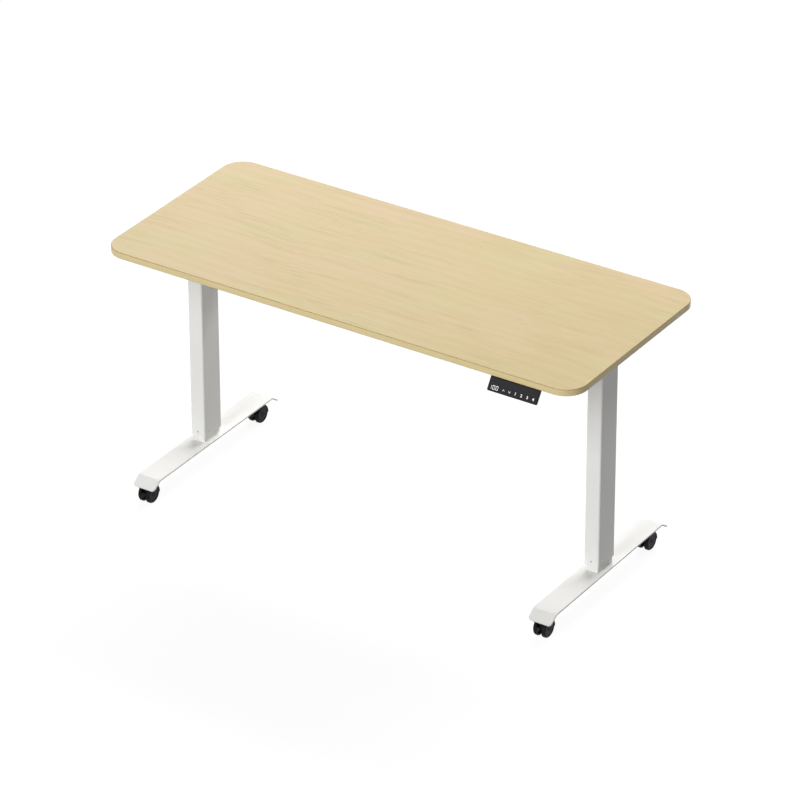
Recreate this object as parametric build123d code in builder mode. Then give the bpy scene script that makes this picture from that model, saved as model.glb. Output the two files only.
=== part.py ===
from build123d import *
from math import cos, radians, sin
import os

# Height adjustable desk on two telescopic columns, with steel feet on swivel casters.
# Millimetres, +Z up, the front of the desk faces -Y. The origin is on the floor, under the middle of
# the desk's overall outline, which the handset stretches forward a little past the worktop.

os.makedirs("parts", exist_ok=True)

# ---------------------------------------------------------------- worktop
DESK_HEIGHT = 733.0  # floor to the working surface, columns closed
TOP_WIDTH = 1400.0
TOP_DEPTH = 600.0
TOP_THICKNESS = 18.0
TOP_CORNER_R = 60.0
BAND_THICKNESS = 2.0  # edge band glued round the board
BAND_ARRIS = 1.0

# ---------------------------------------------------------------- columns
COLUMN_INSET = 97.5  # centre line from the worktop's end
TRAVEL = 450.0  # stroke of the columns
OUTER_TUBE_X = 43.0
OUTER_TUBE_Y = 78.0
OUTER_TUBE_R = 5.0
OUTER_WALL = 1.5
TUBE_GAP = 1.5  # between the outer tube's wall and the inner tube
INNER_TUBE_R = 3.6
INNER_WALL = 1.5
COLUMN_REVEAL = 17.0  # inner tube left bare above the foot
HEAD_ROOM = 25.0  # inner tube's end to the gearbox, columns closed
GLIDE_LENGTH = 40.0
GLIDE_PLAY = 0.3  # sliding clearance of a plastic glide
END_PLATE = 5.0  # welded into the foot of the inner tube
FLANGE_THICKNESS = 4.0  # welded round the head of the outer tube
GLIDE_SCREW_Z = 12.5  # above the outer tube's lower end
GLIDE_SCREW_OFFSET = 20.5  # side screws, in front of the centre line
GLIDE_SCREW_R = 1.7
GLIDE_SCREW_HEAD_R = 2.6
GLIDE_SCREW_HEAD = 0.7

# ---------------------------------------------------------------- drive
GEARBOX_X = 60.0
GEARBOX_Y = 108.0
GEARBOX_HEIGHT = 45.0
GEARBOX_CORNER_R = 8.0
MOTOR_R = 21.0
MOTOR_LENGTH = 76.0
MOTOR_FLANGE = 4.0
MOTOR_CAP_LENGTH = 13.0
WORM_OFFSET = 24.0  # motor axis behind the spindle axis
SPINDLE_R = 8.0
JOURNAL_R = 6.0
JOURNAL_LENGTH = 30.0
BEARING_R = 16.0
BEARING_WIDTH = 10.0
NUT_LENGTH = 30.0
NUT_FLANGE = 4.0
SPINDLE_END_MARGIN = 9.0  # thread left in hand past the nut at full height
RUNNING_FIT = 0.05  # radial clearance of shafts in bores
SPINDLE_CHAMFER = 1.6
MOTOR_CAN_R = 20.0
MOTOR_FLANGE_R = 10.5
GEARBOX_POCKET = 10.0  # depth of the pocket cast into the outer side
GEARBOX_POCKET_LENGTH = 65.0

# ---------------------------------------------------------------- frame under the worktop
BRACKET_LENGTH = 470.0
BRACKET_WIDTH = 70.0
BRACKET_PLATE = 3.0
BRACKET_BEND_R = 3.6
BRACKET_FLANGE = 28.0  # depth of the side flanges at the middle
BRACKET_TIP = 14.0  # depth of the side flanges at the ends
BRACKET_DEEP_HALF = 118.0  # half length of the full-depth stretch
NOTCH_PLAY = 4.0  # motor notch in the inner flange, past the gearbox
RAIL_Y = 86.0  # rail centre line, forward and back of the columns
RAIL_WIDTH = 20.0
RAIL_HEIGHT = 25.0
RAIL_R = 3.0
RAIL_WALL = 1.5
RAIL_END_PLATE = 3.0
RAIL_END_WIDTH = 48.0
RAIL_BOLT_SPACING = 33.0
BOLT_R = 3.0  # M6
BOLT_HEAD_R = 5.77
BOLT_HEAD = 4.0
BOLT_HOLE_R = 3.2
BOLT_TAIL = 1.5  # thread past a nut
BOLT_TOP_GAP = 0.5  # head bolts' ends below the board
HEAD_BOLT_X = 20.0
HEAD_BOLT_Y = 46.5
SCREW_R = 2.2  # wood screw
SCREW_HEAD_R = 4.5
SCREW_HEAD = 2.6
SCREW_BITE = 13.0  # length in the board
SCREW_PLAY = 0.05
BRACKET_SCREW_PITCH = 64.0
BRACKET_SCREW_END = 14.0

# ---------------------------------------------------------------- feet
FOOT_TOP_Z = 69.0
FOOT_THICKNESS = 4.0
FOOT_WIDTH = 66.5
FOOT_FLAT_HALF = 258.0  # to the bend line
FLAP_LENGTH = 36.0
FLAP_ANGLE = 33.5  # below the horizontal
FLAP_CORNER_R = 9.0
FOOT_BEND_R = 8.0
FOOT_BOLT_X = 9.0
FOOT_BOLT_Y = 24.0
FOOT_BOLT_R = 4.0  # M8
FOOT_BOLT_HEAD_R = 7.5
FOOT_BOLT_HEAD = 5.3
FOOT_HOLE_R = 4.2

# ---------------------------------------------------------------- casters
CASTER_Y = 249.5  # stems, forward and back of the columns
CASTER_TRAIL = 14.5  # stem to axle
WHEEL_R = 25.0
WHEEL_INNER = 8.0  # wheel's inner side from the caster's middle
WHEEL_OUTER = 18.0
WHEEL_RIM = 4.0
WHEEL_DISC = 3.0
WHEEL_DOME_R = 12.0  # curve of the shoulder between tread and side
WHEEL_DISH = 0.8  # side sunk between the shoulder and the hub
WHEEL_HUB_R = 6.5
WHEEL_HUB_INNER = 7.0
WHEEL_SHOULDER_R = 18.5  # where the tread's curve meets the side
AXLE_R = 3.0
AXLE_HALF = 16.4
HOOD_GAP = 0.7  # wheel to hood
HOOD_SHELL = 1.6
HOOD_WEB_HALF = 6.3
HOOD_FRONT_ANGLE = -8.0  # hood's arc about the axle, from level at the stem's side
HOOD_BACK_ANGLE = 138.0
HOOD_FLAT_HALF = 10.6  # half width of the hood's level crown
HOOD_CROWN = 2.6  # fall from the crown to the hood's sides
HUB_BOSS_R = 9.0
STEM_R = 5.0
STEM_BOSS_R = 7.5
STEM_COLLAR_R = 9.5
STEM_COLLAR = 6.5
STEM_PLATE_R = 6.0
STEM_PLATE = 4.0
STEM_LENGTH = 24.0
STEM_FLOOR = 3.4  # hood left below the stem's blind bore
SWIVEL_GAP = 0.3  # hood's collar to the stem's plate

# ---------------------------------------------------------------- handset
HANDSET_WIDTH = 141.0
HANDSET_END_MARGIN = 94.0  # from the worktop's right end
HANDSET_FACE = 36.6  # length of the sloped face
HANDSET_TILT = 33.7  # of the face from the vertical
HANDSET_STEP = 0.3  # top of the face in front of the edge band
HANDSET_DEPTH = 38.0
HANDSET_BACK = 16.0  # height of the back
HANDSET_BEZEL = 6.6  # thickness behind the face
HANDSET_CORNER_R = 4.0  # lower corners of the bezel
HANDSET_RIM_R = 1.2  # rounding of the bezel's rims
HANDSET_INSET = 21.0  # core behind the bezel, from each end
HANDSET_CHAMFER = 0.9
PANEL_MARGIN = 2.2
PANEL_THICKNESS = 1.8
PANEL_R = 2.5
PANEL_PLAY = 0.1
EAR_LENGTH = 14.0
EAR_WIDTH = 16.0
EAR_THICKNESS = 3.0
KEY_COUNT = 6
KEY_LAST = 12.0  # last key's centre from the handset's right end
KEY_FIRST = 45.0  # first key's centre from the handset's left end
KEY_SPACE = 3.2  # between neighbouring keys
KEY_HEIGHT = 12.4
KEY_R = 2.0
KEY_BELOW = 7.7  # key centre below the middle of the face
KEY_PLAY = 0.25
KEY_PROUD = 0.35
KEY_FLANGE = 1.0
KEY_LIP = 1.0  # flange past the key's sides
KEY_TRAVEL = 0.8
DISPLAY_WIDTH = 26.0
DISPLAY_HEIGHT = 13.0
DISPLAY_X = 17.5  # centre from the handset's left end
DISPLAY_RECESS = 0.4
PORT_WIDTH = 12.0
PORT_HEIGHT = 8.0
PORT_DEPTH = 8.0

# ---------------------------------------------------------------- control box
CONTROL_X = 150.0
CONTROL_WIDTH = 236.0
CONTROL_DEPTH = 104.0
CONTROL_HEIGHT = 34.0
CONTROL_PLATE = 2.0
CONTROL_WALL = 2.5
CONTROL_R = 6.0
CONTROL_CHAMFER = 1.2
CONTROL_EAR = 17.0
CONTROL_SCREW_Y = 34.0
SOCKET_WALL = 1.5
SOCKET_DEPTH = 12.0
SOCKET_WIDTH = 15.0
SOCKET_HEIGHT = 12.0
SOCKET_PITCH = 24.0
INLET_WIDTH = 27.0
INLET_HEIGHT = 20.0
VENT_WIDTH = 2.4
VENT_LENGTH = 26.0
VENT_COUNT = 9
VENT_PITCH = 7.0

# ---------------------------------------------------------------- modelling
OVERCUT = 1.0  # cuts run on past the material by this much
ROUND_LIMIT = 0.49  # largest corner radius, as a share of the shorter side
MEASURE = 0.04  # slack when an edge is picked by its length

# ---------------------------------------------------------------- worked out
TILT_SIN = sin(radians(HANDSET_TILT))
TILT_COS = cos(radians(HANDSET_TILT))
HANDSET_REACH = HANDSET_STEP + HANDSET_FACE * TILT_SIN
HANDSET_LEFT_X = TOP_WIDTH / 2 - HANDSET_END_MARGIN - HANDSET_WIDTH
DESK_Y = HANDSET_REACH / 2  # centre of the worktop and of the columns
BOARD_WIDTH = TOP_WIDTH - 2 * BAND_THICKNESS
BOARD_DEPTH = TOP_DEPTH - 2 * BAND_THICKNESS
UNDERSIDE_Z = DESK_HEIGHT - TOP_THICKNESS
WEB_Z = UNDERSIDE_Z - BRACKET_PLATE
HEAD_Z = WEB_Z - GEARBOX_HEIGHT  # upper face of the column's head flange
OUTER_BOTTOM_Z = FOOT_TOP_Z + COLUMN_REVEAL
INNER_TOP_Z = HEAD_Z - HEAD_ROOM
COLUMN_X = TOP_WIDTH / 2 - COLUMN_INSET
INNER_TUBE_X = OUTER_TUBE_X - 2 * (OUTER_WALL + TUBE_GAP)
INNER_TUBE_Y = OUTER_TUBE_Y - 2 * (OUTER_WALL + TUBE_GAP)
FOOT_BOTTOM_Z = FOOT_TOP_Z - FOOT_THICKNESS
SPINDLE_END_Z = INNER_TOP_Z - NUT_LENGTH - TRAVEL - SPINDLE_END_MARGIN
MOTOR_Z = HEAD_Z + GEARBOX_HEIGHT / 2
RAIL_Z = WEB_Z - RAIL_HEIGHT / 2  # rails' middle; their tops meet the brackets' webs
HOOD_R = WHEEL_R + HOOD_GAP + HOOD_SHELL
STEM_SEAT_Z = FOOT_BOTTOM_Z - STEM_PLATE
KEY_PITCH = (HANDSET_WIDTH - KEY_FIRST - KEY_LAST) / (KEY_COUNT - 1)
KEY_WIDTH = KEY_PITCH - KEY_SPACE
KEY_WELL = KEY_PLAY / 2 + KEY_FLANGE + KEY_TRAVEL + KEY_PLAY  # depth of the key chamber
SIDES = {"left": -1, "right": 1}
ENDS = {"front": -1, "rear": 1}


# ---------------------------------------------------------------- helpers
def level(x, y, z):
    """Horizontal sketch plane; y is counted from the desk's middle."""
    return Plane(origin=(x, y + DESK_Y, z))


def across(x, y, z):
    """Sketch plane square to X: local x is the desk's Y and local y is up."""
    return Plane(origin=(x, y + DESK_Y, z), x_dir=(0, 1, 0), z_dir=(1, 0, 0))


def facing(x, y, z, side=1):
    """Sketch plane square to Y, seen from the front: local x runs along X, or against it for side -1."""
    return Plane(origin=(x, y + DESK_Y, z), x_dir=(side, 0, 0), z_dir=(0, -side, 0))


def save(builder, name):
    """Label a finished piece and write it out."""
    builder.part.label = name
    export_step(builder.part, f"parts/{name}.step")


def rounded(width, depth, radius):
    """Rounded rectangle in the current sketch, square where there is no room for the radius."""
    if radius > 0:
        return RectangleRounded(width, depth, min(radius, ROUND_LIMIT * min(width, depth)))
    return Rectangle(width, depth)


def tube_core(width, depth, radius, wall, mode=Mode.ADD):
    """Inside of a rectangular tube's section in the current sketch."""
    return RectangleRounded(width - 2 * wall, depth - 2 * wall, radius - wall, mode=mode)


def tube_section(width, depth, radius, wall):
    """Section of a rectangular tube in the current sketch."""
    rounded(width, depth, radius)
    tube_core(width, depth, radius, wall, mode=Mode.SUBTRACT)


def corners(x, y):
    """Four points of a rectangle centred on a sketch's origin."""
    return [(i * x, j * y) for i in (-1, 1) for j in (-1, 1)]


# ---------------------------------------------------------------- wood screws
def bracket_screw_points():
    """Screws of both side brackets, from the desk's middle."""
    far = BRACKET_LENGTH / 2 - BRACKET_SCREW_END
    rows = [j * y for j in (-1, 1) for y in (far, far - BRACKET_SCREW_PITCH)]
    return [(side * COLUMN_X, y) for side in SIDES.values() for y in rows]


def control_screw_points():
    """Screws of the control box's ears."""
    reach = (CONTROL_WIDTH + CONTROL_EAR) / 2
    return [(CONTROL_X + i * reach, j * CONTROL_SCREW_Y) for i in (-1, 1) for j in (-1, 1)]


def handset_screw_points():
    """Screws of the handset's two ears."""
    y = -TOP_DEPTH / 2 + HANDSET_DEPTH + EAR_LENGTH / 2 - HANDSET_STEP
    middle = HANDSET_LEFT_X + HANDSET_WIDTH / 2
    reach = (HANDSET_WIDTH - EAR_WIDTH) / 2 - HANDSET_INSET
    return [(middle + i * reach, y) for i in (-1, 1)]


def screw_groups():
    """Screw points with the thickness of the sheet that each group clamps to the board."""
    return [
        (bracket_screw_points(), BRACKET_PLATE),
        (control_screw_points(), CONTROL_PLATE),
        (handset_screw_points(), EAR_THICKNESS),
    ]


# ---------------------------------------------------------------- worktop
def make_desktop():
    """Board, the band round its edge, and the wood screws that hold the frame to it."""
    with BuildPart() as board:
        with BuildSketch(level(0, 0, UNDERSIDE_Z)):
            rounded(BOARD_WIDTH, BOARD_DEPTH, TOP_CORNER_R - BAND_THICKNESS)
        extrude(amount=TOP_THICKNESS)
        with BuildSketch(level(0, 0, UNDERSIDE_Z)):
            for points, _ in screw_groups():
                with Locations(*points):
                    Circle(SCREW_R + SCREW_PLAY)
        extrude(amount=SCREW_BITE + OVERCUT, mode=Mode.SUBTRACT)
    save(board, "desktop_board")

    with BuildPart() as band:
        with BuildSketch(level(0, 0, UNDERSIDE_Z)):
            rounded(TOP_WIDTH, TOP_DEPTH, TOP_CORNER_R)
        extrude(amount=TOP_THICKNESS)
        rims = band.edges().group_by(Axis.Z)
        chamfer(rims[0] + rims[-1], BAND_ARRIS)
        with BuildSketch(level(0, 0, UNDERSIDE_Z)):
            rounded(BOARD_WIDTH, BOARD_DEPTH, TOP_CORNER_R - BAND_THICKNESS)
        extrude(amount=TOP_THICKNESS, mode=Mode.SUBTRACT)
    save(band, "desktop_edge_band")

    with BuildPart() as screws:
        for points, sheet in screw_groups():
            seat = UNDERSIDE_Z - sheet
            with BuildSketch(level(0, 0, seat)):
                with Locations(*points):
                    Circle(SCREW_HEAD_R)
            extrude(amount=-SCREW_HEAD)
            with BuildSketch(level(0, 0, seat)):
                with Locations(*points):
                    Circle(SCREW_R)
            extrude(amount=sheet + SCREW_BITE)
    save(screws, "desktop_screws")


# ---------------------------------------------------------------- frame
def make_side_bracket(name, side):
    """Pressed steel channel under the worktop; its inner flange is notched for the motor."""
    half = BRACKET_LENGTH / 2
    outer_x = side * COLUMN_X - BRACKET_WIDTH / 2
    with BuildPart() as bracket:
        with BuildSketch(across(outer_x, 0, UNDERSIDE_Z)):
            with BuildLine():
                Polyline(
                    (-half, 0),
                    (half, 0),
                    (half, -BRACKET_TIP),
                    (BRACKET_DEEP_HALF, -BRACKET_FLANGE),
                    (-BRACKET_DEEP_HALF, -BRACKET_FLANGE),
                    (-half, -BRACKET_TIP),
                    close=True,
                )
            make_face()
        extrude(amount=BRACKET_WIDTH)
        fillet(bracket.edges().filter_by(Axis.Y).group_by(Axis.Z)[-1], BRACKET_BEND_R)
        with BuildSketch(level(side * COLUMN_X, 0, WEB_Z)):
            rounded(BRACKET_WIDTH - 2 * BRACKET_PLATE, BRACKET_LENGTH + 2 * OVERCUT, 0)
        extrude(amount=-BRACKET_FLANGE, mode=Mode.SUBTRACT)
        with BuildSketch(level(side * (COLUMN_X - BRACKET_WIDTH / 2), 0, WEB_Z)):
            rounded(3 * BRACKET_PLATE, GEARBOX_Y + 2 * NOTCH_PLAY, 0)
        extrude(amount=-BRACKET_FLANGE, mode=Mode.SUBTRACT)
        with BuildSketch(level(0, 0, WEB_Z)):
            with Locations(*bracket_screw_points()):
                Circle(SCREW_R + SCREW_PLAY)
            with Locations(*[(side * COLUMN_X + x, y) for x, y in corners(HEAD_BOLT_X, HEAD_BOLT_Y)]):
                Circle(BOLT_R + SCREW_PLAY)
        extrude(amount=BRACKET_PLATE, mode=Mode.SUBTRACT)
        with BuildSketch(across(side * (COLUMN_X - BRACKET_WIDTH / 2), 0, RAIL_Z)):
            with Locations(*rail_bolt_rows()):
                Circle(BOLT_HOLE_R)
        extrude(amount=BRACKET_PLATE + OVERCUT, both=True, mode=Mode.SUBTRACT)
    save(bracket, name)


def rail_bolt_rows():
    """Bolts of both rails on the bracket's inner flange: (y, height above the bolt line)."""
    return [(j * RAIL_Y + k * RAIL_BOLT_SPACING / 2, 0) for j in (-1, 1) for k in (-1, 1)]


def make_rail(name, end):
    """Cross rail: a rectangular tube with a plate welded on each end."""
    reach = COLUMN_X - BRACKET_WIDTH / 2
    with BuildPart() as rail:
        with BuildSketch(across(-reach + RAIL_END_PLATE, end * RAIL_Y, RAIL_Z)):
            tube_section(RAIL_WIDTH, RAIL_HEIGHT, RAIL_R, RAIL_WALL)
        extrude(amount=2 * (reach - RAIL_END_PLATE))
        for start in (-reach, reach - RAIL_END_PLATE):
            with BuildSketch(across(start, end * RAIL_Y, RAIL_Z)):
                rounded(RAIL_END_WIDTH, RAIL_HEIGHT, RAIL_R)
                with GridLocations(RAIL_BOLT_SPACING, 1, 2, 1):
                    Circle(BOLT_HOLE_R, mode=Mode.SUBTRACT)
            extrude(amount=RAIL_END_PLATE)
    save(rail, name)


def make_frame_bolts():
    """Hexagon bolts: four up through each column's head, four through each bracket's inner flange."""
    with BuildPart() as bolts:
        for side in SIDES.values():
            points = corners(HEAD_BOLT_X, HEAD_BOLT_Y)
            flange_z = HEAD_Z - FLANGE_THICKNESS
            with BuildSketch(level(side * COLUMN_X, 0, flange_z - BOLT_HEAD)):
                with Locations(*points):
                    RegularPolygon(BOLT_HEAD_R, 6)
            extrude(amount=BOLT_HEAD)
            with BuildSketch(level(side * COLUMN_X, 0, flange_z)):
                with Locations(*points):
                    Circle(BOLT_R)
            extrude(amount=UNDERSIDE_Z - BOLT_TOP_GAP - flange_z)
            head_x = side * (COLUMN_X - BRACKET_WIDTH / 2 + BRACKET_PLATE)
            grip = BRACKET_PLATE + RAIL_END_PLATE
            for start, away in ((head_x, side), (head_x - side * grip, -side)):
                with BuildSketch(across(start, 0, RAIL_Z)):
                    with Locations(*rail_bolt_rows()):
                        RegularPolygon(BOLT_HEAD_R, 6)
                extrude(amount=away * BOLT_HEAD)
            with BuildSketch(across(head_x, 0, RAIL_Z)):
                with Locations(*rail_bolt_rows()):
                    Circle(BOLT_R)
            extrude(amount=-side * (grip + BOLT_HEAD + BOLT_TAIL))
    save(bolts, "frame_bolts")


# ---------------------------------------------------------------- columns
def make_outer_column(name, side):
    """Upper tube with its head flange welded on, and holes for the glide screws."""
    x = side * COLUMN_X
    with BuildPart() as column:
        with BuildSketch(level(x, 0, OUTER_BOTTOM_Z)):
            tube_section(OUTER_TUBE_X, OUTER_TUBE_Y, OUTER_TUBE_R, OUTER_WALL)
        extrude(amount=HEAD_Z - OUTER_BOTTOM_Z)
        with BuildSketch(level(x, 0, HEAD_Z - FLANGE_THICKNESS)):
            rounded(GEARBOX_X, GEARBOX_Y, GEARBOX_CORNER_R)
            tube_core(OUTER_TUBE_X, OUTER_TUBE_Y, OUTER_TUBE_R, OUTER_WALL, mode=Mode.SUBTRACT)
            with Locations(*corners(HEAD_BOLT_X, HEAD_BOLT_Y)):
                Circle(BOLT_HOLE_R, mode=Mode.SUBTRACT)
        extrude(amount=FLANGE_THICKNESS)
        for plane in glide_screw_planes(x):
            with BuildSketch(plane):
                Circle(GLIDE_SCREW_R + SCREW_PLAY)
            extrude(amount=-(OUTER_WALL + TUBE_GAP), mode=Mode.SUBTRACT)
    save(column, name)


def glide_screw_planes(x):
    """Planes on the four outer faces of a column, square to each glide screw, and facing outwards."""
    z = OUTER_BOTTOM_Z + GLIDE_SCREW_Z
    half_x = OUTER_TUBE_X / 2
    half_y = OUTER_TUBE_Y / 2
    return [
        Plane(origin=(x, DESK_Y - half_y, z), x_dir=(1, 0, 0), z_dir=(0, -1, 0)),
        Plane(origin=(x, DESK_Y + half_y, z), x_dir=(-1, 0, 0), z_dir=(0, 1, 0)),
        Plane(origin=(x + half_x, DESK_Y - GLIDE_SCREW_OFFSET, z), x_dir=(0, 1, 0), z_dir=(1, 0, 0)),
        Plane(origin=(x - half_x, DESK_Y - GLIDE_SCREW_OFFSET, z), x_dir=(0, -1, 0), z_dir=(-1, 0, 0)),
    ]


def make_glide_screws():
    """Small button-head screws that pin the lower glides in the outer tubes."""
    with BuildPart() as screws:
        for side in SIDES.values():
            for plane in glide_screw_planes(side * COLUMN_X):
                with BuildSketch(plane):
                    Circle(GLIDE_SCREW_HEAD_R)
                extrude(amount=GLIDE_SCREW_HEAD)
                with BuildSketch(plane):
                    Circle(GLIDE_SCREW_R)
                extrude(amount=-(OUTER_WALL + TUBE_GAP - 2 * GLIDE_PLAY))
    save(screws, "glide_screws")


def make_lower_glide(name, side):
    """Plastic sleeve in the mouth of the outer tube, round the inner tube."""
    x = side * COLUMN_X
    with BuildPart() as glide:
        with BuildSketch(level(x, 0, OUTER_BOTTOM_Z)):
            tube_core(OUTER_TUBE_X, OUTER_TUBE_Y, OUTER_TUBE_R, OUTER_WALL)
            tube_core(INNER_TUBE_X, INNER_TUBE_Y, INNER_TUBE_R, -GLIDE_PLAY, mode=Mode.SUBTRACT)
        extrude(amount=GLIDE_LENGTH)
        for plane in glide_screw_planes(x):
            with BuildSketch(plane):
                Circle(GLIDE_SCREW_R + SCREW_PLAY)
            extrude(amount=-(OUTER_WALL + TUBE_GAP), mode=Mode.SUBTRACT)
    save(glide, name)


def make_upper_glide(name, side):
    """Plastic sleeve round the top of the inner tube, sliding in the outer tube."""
    with BuildPart() as glide:
        with BuildSketch(level(side * COLUMN_X, 0, INNER_TOP_Z - GLIDE_LENGTH)):
            tube_core(OUTER_TUBE_X, OUTER_TUBE_Y, OUTER_TUBE_R, OUTER_WALL + GLIDE_PLAY)
            RectangleRounded(INNER_TUBE_X, INNER_TUBE_Y, INNER_TUBE_R, mode=Mode.SUBTRACT)
        extrude(amount=GLIDE_LENGTH)
    save(glide, name)


def make_inner_column(name, side):
    """Lower tube with a tapped plate welded into its foot."""
    x = side * COLUMN_X
    with BuildPart() as column:
        with BuildSketch(level(x, 0, FOOT_TOP_Z)):
            tube_section(INNER_TUBE_X, INNER_TUBE_Y, INNER_TUBE_R, INNER_WALL)
        extrude(amount=INNER_TOP_Z - FOOT_TOP_Z)
        with BuildSketch(level(x, 0, FOOT_TOP_Z)):
            tube_core(INNER_TUBE_X, INNER_TUBE_Y, INNER_TUBE_R, INNER_WALL / 2)
            with Locations(*corners(FOOT_BOLT_X, FOOT_BOLT_Y)):
                Circle(FOOT_BOLT_R + SCREW_PLAY, mode=Mode.SUBTRACT)
        extrude(amount=END_PLATE)
    save(column, name)


# ---------------------------------------------------------------- drive
def make_gearbox(name, side):
    """Cast gearbox on the column's head, bored for the bearing and the spindle's journal."""
    x = side * COLUMN_X
    with BuildPart() as gearbox:
        with BuildSketch(level(x, 0, HEAD_Z)):
            rounded(GEARBOX_X, GEARBOX_Y, GEARBOX_CORNER_R)
        extrude(amount=GEARBOX_HEIGHT)
        with BuildSketch(level(x, 0, HEAD_Z + FLANGE_THICKNESS)):
            with Locations((side * GEARBOX_X / 2, 0)):
                rounded(2 * GEARBOX_POCKET, GEARBOX_POCKET_LENGTH, RAIL_R)
        extrude(amount=GEARBOX_HEIGHT - 2 * FLANGE_THICKNESS, mode=Mode.SUBTRACT)
        with BuildSketch(level(x, 0, HEAD_Z)):
            Circle(BEARING_R + SCREW_PLAY)
        extrude(amount=BEARING_WIDTH, mode=Mode.SUBTRACT)
        with BuildSketch(level(x, 0, HEAD_Z)):
            Circle(JOURNAL_R + RUNNING_FIT)
        extrude(amount=JOURNAL_LENGTH + OVERCUT, mode=Mode.SUBTRACT)
        with BuildSketch(level(x, 0, HEAD_Z)):
            with Locations(*corners(HEAD_BOLT_X, HEAD_BOLT_Y)):
                Circle(BOLT_HOLE_R)
        extrude(amount=GEARBOX_HEIGHT, mode=Mode.SUBTRACT)
    save(gearbox, name)


def make_spindle_bearings():
    """Ball bearing rings that carry the spindles, one in each gearbox."""
    with BuildPart() as bearings:
        for side in SIDES.values():
            with BuildSketch(level(side * COLUMN_X, 0, HEAD_Z)):
                Circle(BEARING_R)
                Circle(JOURNAL_R + RUNNING_FIT, mode=Mode.SUBTRACT)
            extrude(amount=BEARING_WIDTH)
    save(bearings, "spindle_bearings")


def make_motor(name, side):
    """Motor can with its mounting flange, lying inwards from the gearbox."""
    start = side * (COLUMN_X - GEARBOX_X / 2)
    with BuildPart() as motor:
        with BuildSketch(across(start, WORM_OFFSET, MOTOR_Z)):
            rounded(2 * MOTOR_R, 2 * MOTOR_R, MOTOR_FLANGE_R)
        extrude(amount=-side * MOTOR_FLANGE)
        with BuildSketch(across(start - side * MOTOR_FLANGE, WORM_OFFSET, MOTOR_Z)):
            Circle(MOTOR_CAN_R)
        extrude(amount=-side * (MOTOR_LENGTH - MOTOR_FLANGE))
    save(motor, name)


def make_motor_caps():
    """Plastic end caps of the motors, with the tail where the motor lead plugs in."""
    with BuildPart() as caps:
        for side in SIDES.values():
            start = side * (COLUMN_X - GEARBOX_X / 2 - MOTOR_LENGTH)
            with BuildSketch(across(start, WORM_OFFSET, MOTOR_Z)):
                Circle(MOTOR_CAN_R)
            extrude(amount=-side * MOTOR_CAP_LENGTH)
            with BuildSketch(across(start - side * MOTOR_CAP_LENGTH / 2, WORM_OFFSET, MOTOR_Z)):
                rounded(SOCKET_WIDTH, SOCKET_HEIGHT, SOCKET_WALL)
                Rectangle(SOCKET_WIDTH - 2 * SOCKET_WALL, SOCKET_HEIGHT - 2 * SOCKET_WALL, mode=Mode.SUBTRACT)
            extrude(amount=-side * (MOTOR_CAP_LENGTH / 2 + SOCKET_DEPTH / 2))
    save(caps, "motor_caps")


def make_spindle(name, side):
    """Lead screw hanging from the gearbox down through the nut, with a journal at its head."""
    x = side * COLUMN_X
    with BuildPart() as spindle:
        with BuildSketch(level(x, 0, SPINDLE_END_Z)):
            Circle(SPINDLE_R)
        extrude(amount=HEAD_Z - GLIDE_PLAY - SPINDLE_END_Z)
        with BuildSketch(level(x, 0, HEAD_Z - GLIDE_PLAY)):
            Circle(JOURNAL_R)
        extrude(amount=JOURNAL_LENGTH)
        chamfer(spindle.edges().group_by(Axis.Z)[0], SPINDLE_CHAMFER)
    save(spindle, name)


def make_spindle_nut(name, side):
    """Nut block that closes the top of the inner tube and rides on the spindle."""
    x = side * COLUMN_X
    with BuildPart() as nut:
        with BuildSketch(level(x, 0, INNER_TOP_Z - NUT_LENGTH)):
            tube_core(INNER_TUBE_X, INNER_TUBE_Y, INNER_TUBE_R, INNER_WALL)
        extrude(amount=NUT_LENGTH)
        with BuildSketch(level(x, 0, INNER_TOP_Z)):
            rounded(INNER_TUBE_X, INNER_TUBE_Y, INNER_TUBE_R)
        extrude(amount=NUT_FLANGE)
        with BuildSketch(level(x, 0, INNER_TOP_Z - NUT_LENGTH)):
            Circle(SPINDLE_R + RUNNING_FIT)
        extrude(amount=NUT_LENGTH + NUT_FLANGE, mode=Mode.SUBTRACT)
    save(nut, name)


# ---------------------------------------------------------------- feet
def make_foot_plate(name, side):
    """Steel plate bent down at both ends, with its lower corners rounded."""
    x = side * COLUMN_X
    tip_y = FOOT_FLAT_HALF + FLAP_LENGTH * cos(radians(FLAP_ANGLE))
    tip_z = -FLAP_LENGTH * sin(radians(FLAP_ANGLE))
    with BuildPart() as plate:
        with BuildSketch(across(x - FOOT_WIDTH / 2, 0, FOOT_TOP_Z)):
            with BuildLine():
                FilletPolyline(
                    (-tip_y, tip_z),
                    (-FOOT_FLAT_HALF, 0),
                    (FOOT_FLAT_HALF, 0),
                    (tip_y, tip_z),
                    radius=FOOT_BEND_R,
                )
                offset(amount=FOOT_THICKNESS, side=Side.RIGHT)
            make_face()
        extrude(amount=FOOT_WIDTH)
        tips = plate.edges().filter_by(lambda edge: edge.length < FOOT_THICKNESS + MEASURE)
        fillet(tips.filter_by(lambda edge: abs(edge.center().Y - DESK_Y) > FOOT_FLAT_HALF), FLAP_CORNER_R)
        with BuildSketch(level(x, 0, FOOT_BOTTOM_Z)):
            with Locations(*corners(FOOT_BOLT_X, FOOT_BOLT_Y)):
                Circle(FOOT_HOLE_R)
        extrude(amount=FOOT_THICKNESS, mode=Mode.SUBTRACT)
    save(plate, name)


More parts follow.
